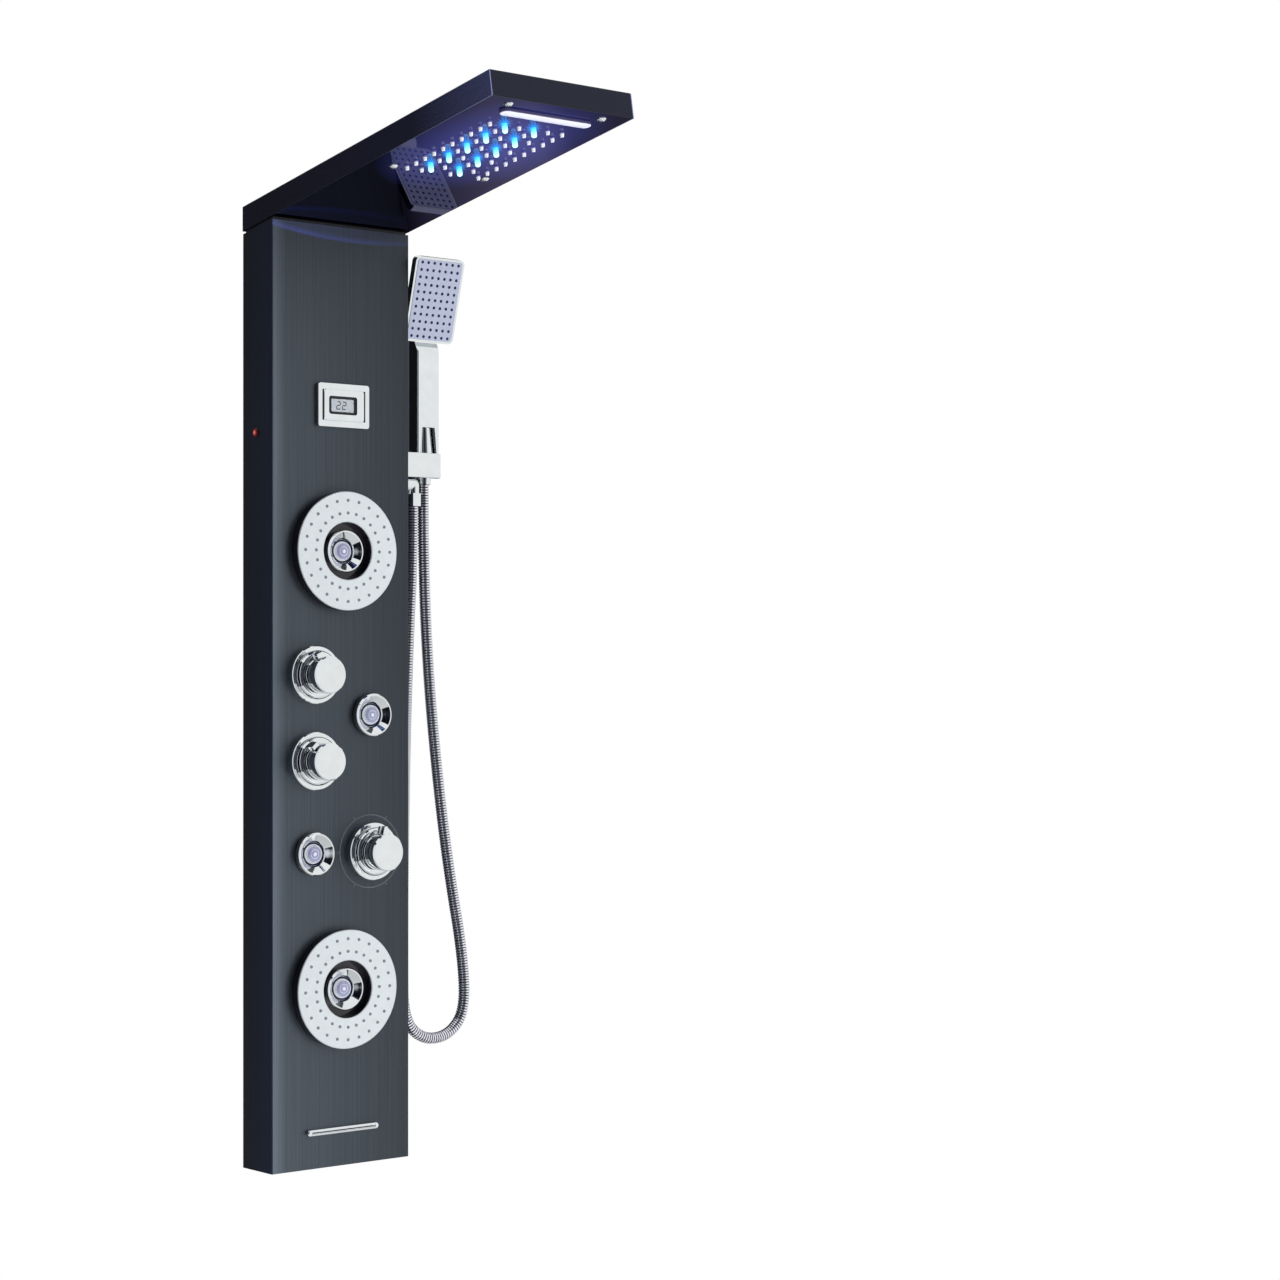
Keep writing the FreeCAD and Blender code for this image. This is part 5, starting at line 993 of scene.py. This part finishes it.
def make_dial(finishes):
    """Faint printed ring with marks round the diverter."""
    x, z = DIVERTER
    frame = front_place(x, FRONT / MM - DIAL_PROUD, z)
    shape = bmesh.new()
    inner = bmesh.ops.create_circle(
        shape, segments=DIAL_STEPS, radius=DIAL_RADIUS * MM, matrix=frame)["verts"]
    edges = list({edge for vert in inner for edge in vert.link_edges})
    drawn = bmesh.ops.extrude_edge_only(shape, edges=edges)["geom"]
    outer = [item for item in drawn if isinstance(item, bmesh.types.BMVert)]
    grow = 1 + DIAL_LINE / DIAL_RADIUS
    centred = Matrix.Translation(-frame.translation)
    bmesh.ops.scale(shape, vec=(grow, grow, grow), space=centred, verts=outer)
    outwards = Matrix.Translation(((DIAL_RADIUS + DIAL_MARK_OUT) * MM, 0, 0))
    for mark in range(DIAL_MARKS):
        spoke = frame @ Matrix.Rotation(2 * math.pi * mark / DIAL_MARKS, 4, "Z")
        add_block(shape, spoke @ outwards, DIAL_MARK)
    finish_piece("diverter_dial", shape, finishes["print"], "panel")


def make_tab_ribs(finishes):
    """Finger ribs on both sides of each knob's tab, pale as a painted highlight."""
    root_half, root = TAB_ROOT
    for name, ((x, z), turn, (tip_half, tip)) in TABS.items():
        knob = front_place(x, FRONT / MM, z) @ Matrix.Rotation(math.radians(turn), 4, "Z")
        shape = bmesh.new()
        for side in (-1, 1):
            start = Vector((side * root_half, root, TAB_RIB_HEIGHT))
            end = Vector((side * tip_half, tip, TAB_RIB_HEIGHT))
            frame = knob @ facing(start * MM, (end - start).normalized())
            add_cone(shape, frame, (TAB_RIB, TAB_RIB, (end - start).length), TAB_RIB_SIDES)
        finish_piece(
            f"{name}_tab_ribs", shape, finishes["painted_tab_highlight"], f"{name}_control")


def rounded_face(shape, middle, size, corner):
    """Upright face with rounded corners that looks into the room, from millimetres; its edges."""
    wide, tall = size
    frame = front_place(*middle) @ Matrix.Diagonal((wide * MM, tall * MM, 1, 1))
    corners = bmesh.ops.create_grid(shape, x_segments=1, y_segments=1, size=0.5, matrix=frame)["verts"]
    bmesh.ops.bevel(
        shape, geom=corners, offset=corner * MM, segments=CORNER_STEPS, profile=0.5,
        affect="VERTICES", material=-1)
    return list(shape.edges)


def drawn_rim(shape, edges, middle, wider, taller, move):
    """New loop drawn from a loop of edges, each half moved outwards, from millimetres; its edges."""
    drawn = bmesh.ops.extrude_edge_only(shape, edges=edges)["geom"]
    verts = {item for item in drawn if isinstance(item, bmesh.types.BMVert)}
    centre = Vector(middle) * MM
    for sign in (-1, 1):
        across = [vert for vert in verts if (vert.co - centre).x * sign > 0]
        upward = [vert for vert in verts if (vert.co - centre).z * sign > 0]
        bmesh.ops.translate(shape, vec=(sign * wider * MM, 0, 0), verts=across)
        bmesh.ops.translate(shape, vec=(0, 0, sign * taller * MM), verts=upward)
    bmesh.ops.translate(shape, vec=Vector(move) * MM, verts=list(verts))
    lines = [item for item in drawn if isinstance(item, bmesh.types.BMEdge)]
    return [line for line in lines if verts.issuperset(line.verts)]


def make_display(finishes):
    """Dark pane with a grey screen and two digits, in a raised plate between the bezel's grooves."""
    width, tall = PANE
    front = DISPLAY_FRONT + PANE_RECESS
    middle = Vector((0, front + PANE_DEPTH / 2, DISPLAY_HEIGHT)) * MM
    shape = bmesh.new()
    add_block(shape, Matrix.Translation(middle), (width, PANE_DEPTH, tall))
    pane = finish_piece("display_pane", shape, finishes["shade"], "panel")
    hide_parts("display_window")
    plate = bmesh.new()
    middle = (OPENING_X, DISPLAY_FRONT - PLATE_PROUD, DISPLAY_HEIGHT)
    opening = rounded_face(plate, middle, OPENING, OPENING_CORNER)
    bmesh.ops.delete(plate, geom=list(plate.faces), context="FACES_ONLY")
    wider, taller = [(outer - inner) / 2 for outer, inner in zip(PLATE, OPENING)]
    drawn_rim(plate, opening, middle, 0, 0, (0, PLATE_PROUD + PANE_RECESS, 0))
    brink = drawn_rim(plate, opening, middle, wider, taller, (-OPENING_X, 0, 0))
    skirt = drawn_rim(plate, brink, middle, PLATE_PROUD, PLATE_PROUD, (0, PLATE_PROUD + PLATE_SUNK, 0))
    drawn_rim(
        plate, skirt, middle, -wider - PLATE_PROUD, -taller - PLATE_PROUD,
        (OPENING_X, PANE_RECESS - PLATE_SUNK, 0))
    bmesh.ops.remove_doubles(plate, verts=plate.verts, dist=CLOSE)
    finish_piece("display_plate", plate, finishes["chrome"], "panel")
    screen = bmesh.new()
    middle = (SCREEN_X, front - SCREEN_PROUD, DISPLAY_HEIGHT)
    rim = rounded_face(screen, middle, SCREEN, SCREEN_CORNER)
    back = drawn_rim(screen, rim, middle, 0, 0, (0, SCREEN_DEPTH, 0))
    bmesh.ops.holes_fill(screen, edges=back, sides=0)
    finish_piece("display_screen", screen, finishes["screen"], "panel")
    digits = bmesh.new()
    for middle_x in DIGIT_MIDDLES:
        for across, up, wide, high in DIGIT_BARS:
            x = middle_x + across + DIGIT_LEAN * up
            place = Vector((x, front - DIGIT_PROUD, DISPLAY_HEIGHT + up)) * MM
            add_block(digits, Matrix.Translation(place), (wide, DIGIT_DEPTH, high))
    finish_piece("display_digits", digits, finishes["digit"], "panel")


def make_slot_shade_strips(finishes):
    """Dark strips in the display's two grooves and in the bath spout's slot, painted shade in these
    recesses.
    """
    shape = bmesh.new()
    wide, tall = GROOVE_SIZE
    for x in (-GROOVE_X, GROOVE_X):
        place = Vector((x, DISPLAY_FRONT + GROOVE_SUNK, DISPLAY_HEIGHT)) * MM
        add_block(shape, Matrix.Translation(place), (wide, SHADE_STRIP_DEPTH, tall))
    wide, tall = SPOUT_GAP
    place = Vector((0, SPOUT_FRONT + SPOUT_GAP_SUNK, SPOUT_HEIGHT)) * MM
    add_block(shape, Matrix.Translation(place), (wide, SHADE_STRIP_DEPTH, tall))
    finish_piece("slot_shade_strips", shape, finishes["shade"], "panel")


def make_spout_baffle(finishes):
    """Round-ended silver baffle in the bath spout's slot."""
    shape = bmesh.new()
    wide, tall = SPOUT_SLOT
    place = Vector((0, SPOUT_FRONT + BAFFLE_SUNK, SPOUT_HEIGHT)) * MM
    add_block(shape, Matrix.Translation(place), (wide, BAFFLE_DEPTH, tall))
    corners = [edge for edge in shape.edges if abs(edge.verts[0].co.y - edge.verts[1].co.y) > CLOSE]
    round_edges(shape, corners, BAFFLE_CORNER, BAFFLE_STEPS)
    finish_piece("spout_baffle", shape, finishes["plate"], "panel")


def make_waterfall_lip(finishes):
    """Round-ended pale lip that closes most of the waterfall's slot, painted darker above as shade by its
    satin finish.
    """
    shape = bmesh.new()
    tall = FALL_LIP[2]
    place = Vector((0, -FALL_ALONG, tall / 2 - FALL_LIP_HANG)) * MM
    add_block(shape, HEAD_FRAME @ Matrix.Translation(place), FALL_LIP)
    corners = [edge for edge in shape.edges if abs(edge.calc_length() - tall * MM) < CLOSE]
    round_edges(shape, corners, FALL_LIP_CORNER, CORNER_STEPS)
    finish_piece("waterfall_lip", shape, finishes["satin"], "panel")


def make_head_details(finishes):
    """Dark discs as painted shade in the rain nozzles' water holes, and dark crosses as painted shade in
    the overhead's screws.
    """
    holes = bmesh.new()
    for row in range(RAIN_ROWS):
        along = RAIN_FRONT - row * RAIN_ROW_PITCH
        columns = RAIN_SPARSE_COLUMNS
        if row % 2 == 0:
            columns = [column for column in range(RAIN_COLUMNS) if column not in RAIN_LAMP_COLUMNS]
        for column in columns:
            x = (column - (RAIN_COLUMNS - 1) / 2) * RAIN_COLUMN_PITCH
            frame = HEAD_FRAME @ facing(Vector((x, -along, -NOZZLE_HANG)) * MM, DOWN)
            add_cone(holes, frame, NOZZLE_HOLE, NOZZLE_HOLE_SIDES)
    finish_piece("rain_nozzle_holes", holes, finishes["rubber_and_hole_shade"], "panel")
    long, wide, deep = SCREW_CROSS
    # Dark crosses, painted shade in the screw recesses
    crosses = bmesh.new()
    for x in (-SCREW_X, SCREW_X):
        for along in SCREW_ALONGS:
            frame = HEAD_FRAME @ Matrix.Translation(Vector((x, -along, -SCREW_HANG)) * MM)
            add_block(crosses, frame, (long, wide, deep))
            add_block(crosses, frame, (wide, long, deep))
    finish_piece("soffit_screw_crosses", crosses, finishes["housing"], "panel")


def make_threads(finishes):
    """Thread ridges on the two supply inlets."""
    shape = bmesh.new()
    start, end = INLET_THREAD
    for z in INLET_HEIGHTS:
        for turn in range(THREAD_TURNS):
            y = start + (end - start) * turn / (THREAD_TURNS - 1)
            frame = front_place(INLET_X, y, z)
            add_ring(shape, frame, INLET_RADIUS, THREAD_RIDGE, SMALL_RING_STEPS, THREAD_SIDES)
    finish_piece("inlet_threads", shape, finishes["brass"], "panel", smooth=True)


# Stage, light and camera
def make_floor():
    """Pale floor under the wall panel that fades out with distance."""
    material, tree, shader = blank_material("pale_floor")
    shader.inputs["Base Color"].default_value = FLOOR_TONE
    shader.inputs["Roughness"].default_value = FLOOR_ROUGHNESS
    glow = add_node(tree, "ShaderNodeEmission", Color=(1, 1, 1, 1), Strength=1.0)
    place = add_node(tree, "ShaderNodeTexCoord")
    length = add_node(tree, "ShaderNodeVectorMath", operation="LENGTH")
    mix = add_node(tree, "ShaderNodeMixShader")
    tree.links.new(place.outputs["Object"], length.inputs[0])
    tree.links.new(sloped(tree, length.outputs["Value"], *FLOOR_FADE), mix.inputs["Fac"])
    tree.links.new(shader.outputs["BSDF"], mix.inputs[1])
    tree.links.new(glow.outputs["Emission"], mix.inputs[2])
    tree.links.new(mix.outputs["Shader"], tree.nodes["Material Output"].inputs["Surface"])
    plate = bmesh.new()
    bmesh.ops.create_circle(plate, segments=FLOOR_STEPS, radius=FLOOR_RADIUS, cap_ends=True)
    floor = new_piece("floor", plate, material)
    floor.location = (0, 0, -HANG - FLOOR_DROP)


def make_world():
    """White surroundings for the eye and for gloss, plain soft light for the rest."""
    world = bpy.data.worlds.new("studio")
    bpy.context.scene.world = world
    world.use_nodes = True
    tree = world.node_tree
    soft = tree.nodes["Background"]
    soft.inputs["Color"].default_value = SOFT_TONE
    soft.inputs["Strength"].default_value = SOFT_STRENGTH
    white = add_node(tree, "ShaderNodeBackground", Color=(1, 1, 1, 1), Strength=1.0)
    path = add_node(tree, "ShaderNodeLightPath").outputs
    seen = combined(tree, "MAXIMUM", path["Is Camera Ray"], path["Is Glossy Ray"])
    shown = combined(tree, "MAXIMUM", seen, path["Is Transmission Ray"])
    mix = add_node(tree, "ShaderNodeMixShader")
    tree.links.new(shown, mix.inputs["Fac"])
    tree.links.new(soft.outputs["Background"], mix.inputs[1])
    tree.links.new(white.outputs["Background"], mix.inputs[2])
    tree.links.new(mix.outputs["Shader"], tree.nodes["World Output"].inputs["Surface"])


def softbox(name, place, target, size, power):
    """Large area lamp aimed at a point."""
    light = bpy.data.lights.new(name, "AREA")
    light.shape = "RECTANGLE"
    light.size, light.size_y = size
    light.energy = power
    lamp = bpy.data.objects.new(name, light)
    lamp.location = place
    lamp.visible_glossy = False
    lamp.rotation_euler = (Vector(target) - Vector(place)).to_track_quat("-Z", "Y").to_euler()
    bpy.context.scene.collection.objects.link(lamp)


def reflection_card(name, corner, across, up, tones):
    """Studio card that only gloss sees, with a tone at each share of its way across."""
    material, tree = blank_material(name)[:2]
    glow = add_node(tree, "ShaderNodeEmission", Strength=1.0)
    corner, across, up = Vector(corner), Vector(across), Vector(up)
    place = add_node(tree, "ShaderNodeTexCoord")
    mapping = add_node(tree, "ShaderNodeMapping", Location=-corner)
    along = add_node(tree, "ShaderNodeVectorMath", operation="DOT_PRODUCT")
    along.inputs[1].default_value = across / across.length_squared
    tree.links.new(place.outputs["Object"], mapping.inputs["Vector"])
    tree.links.new(mapping.outputs["Vector"], along.inputs[0])
    tree.links.new(ramped(tree, along.outputs["Value"], tones), glow.inputs["Color"])
    tree.links.new(glow.outputs["Emission"], tree.nodes["Material Output"].inputs["Surface"])
    sheet = bmesh.new()
    bmesh.ops.create_grid(sheet, x_segments=1, y_segments=1, size=0.5)
    frame = Matrix((across, up, across.cross(up).normalized())).transposed().to_4x4()
    bmesh.ops.transform(
        sheet, matrix=Matrix.Translation(corner + (across + up) / 2) @ frame, verts=sheet.verts)
    card = new_piece(name, sheet, material)
    card.visible_camera = False
    card.visible_diffuse = False
    card.visible_shadow = False
    card.visible_transmission = False


def make_camera():
    """Camera at the photograph's place."""
    data = bpy.data.cameras.new("camera")
    data.lens = CAMERA_LENS
    data.sensor_width = CAMERA_SENSOR
    data.shift_y = CAMERA_SHIFT_UP
    camera = bpy.data.objects.new("camera", data)
    camera.location = CAMERA_PLACE
    camera.rotation_euler = (math.pi / 2, 0, -CAMERA_TURN)
    bpy.context.scene.collection.objects.link(camera)
    bpy.context.scene.camera = camera


bpy.context.scene.view_settings.view_transform = "Standard"
make_camera()
finishes = make_materials()
make_hose(finishes)
dress_nodes(finishes)
make_disc_nubs(finishes)
make_spray_hole_shade(finishes)
make_jet_details(finishes)
make_dial(finishes)
make_tab_ribs(finishes)
make_display(finishes)
make_slot_shade_strips(finishes)
make_spout_baffle(finishes)
make_waterfall_lip(finishes)
make_head_details(finishes)
make_threads(finishes)
make_floor()
make_world()
for row in SOFTBOXES:
    softbox(*row)
for row in CARDS:
    reflection_card(*row)
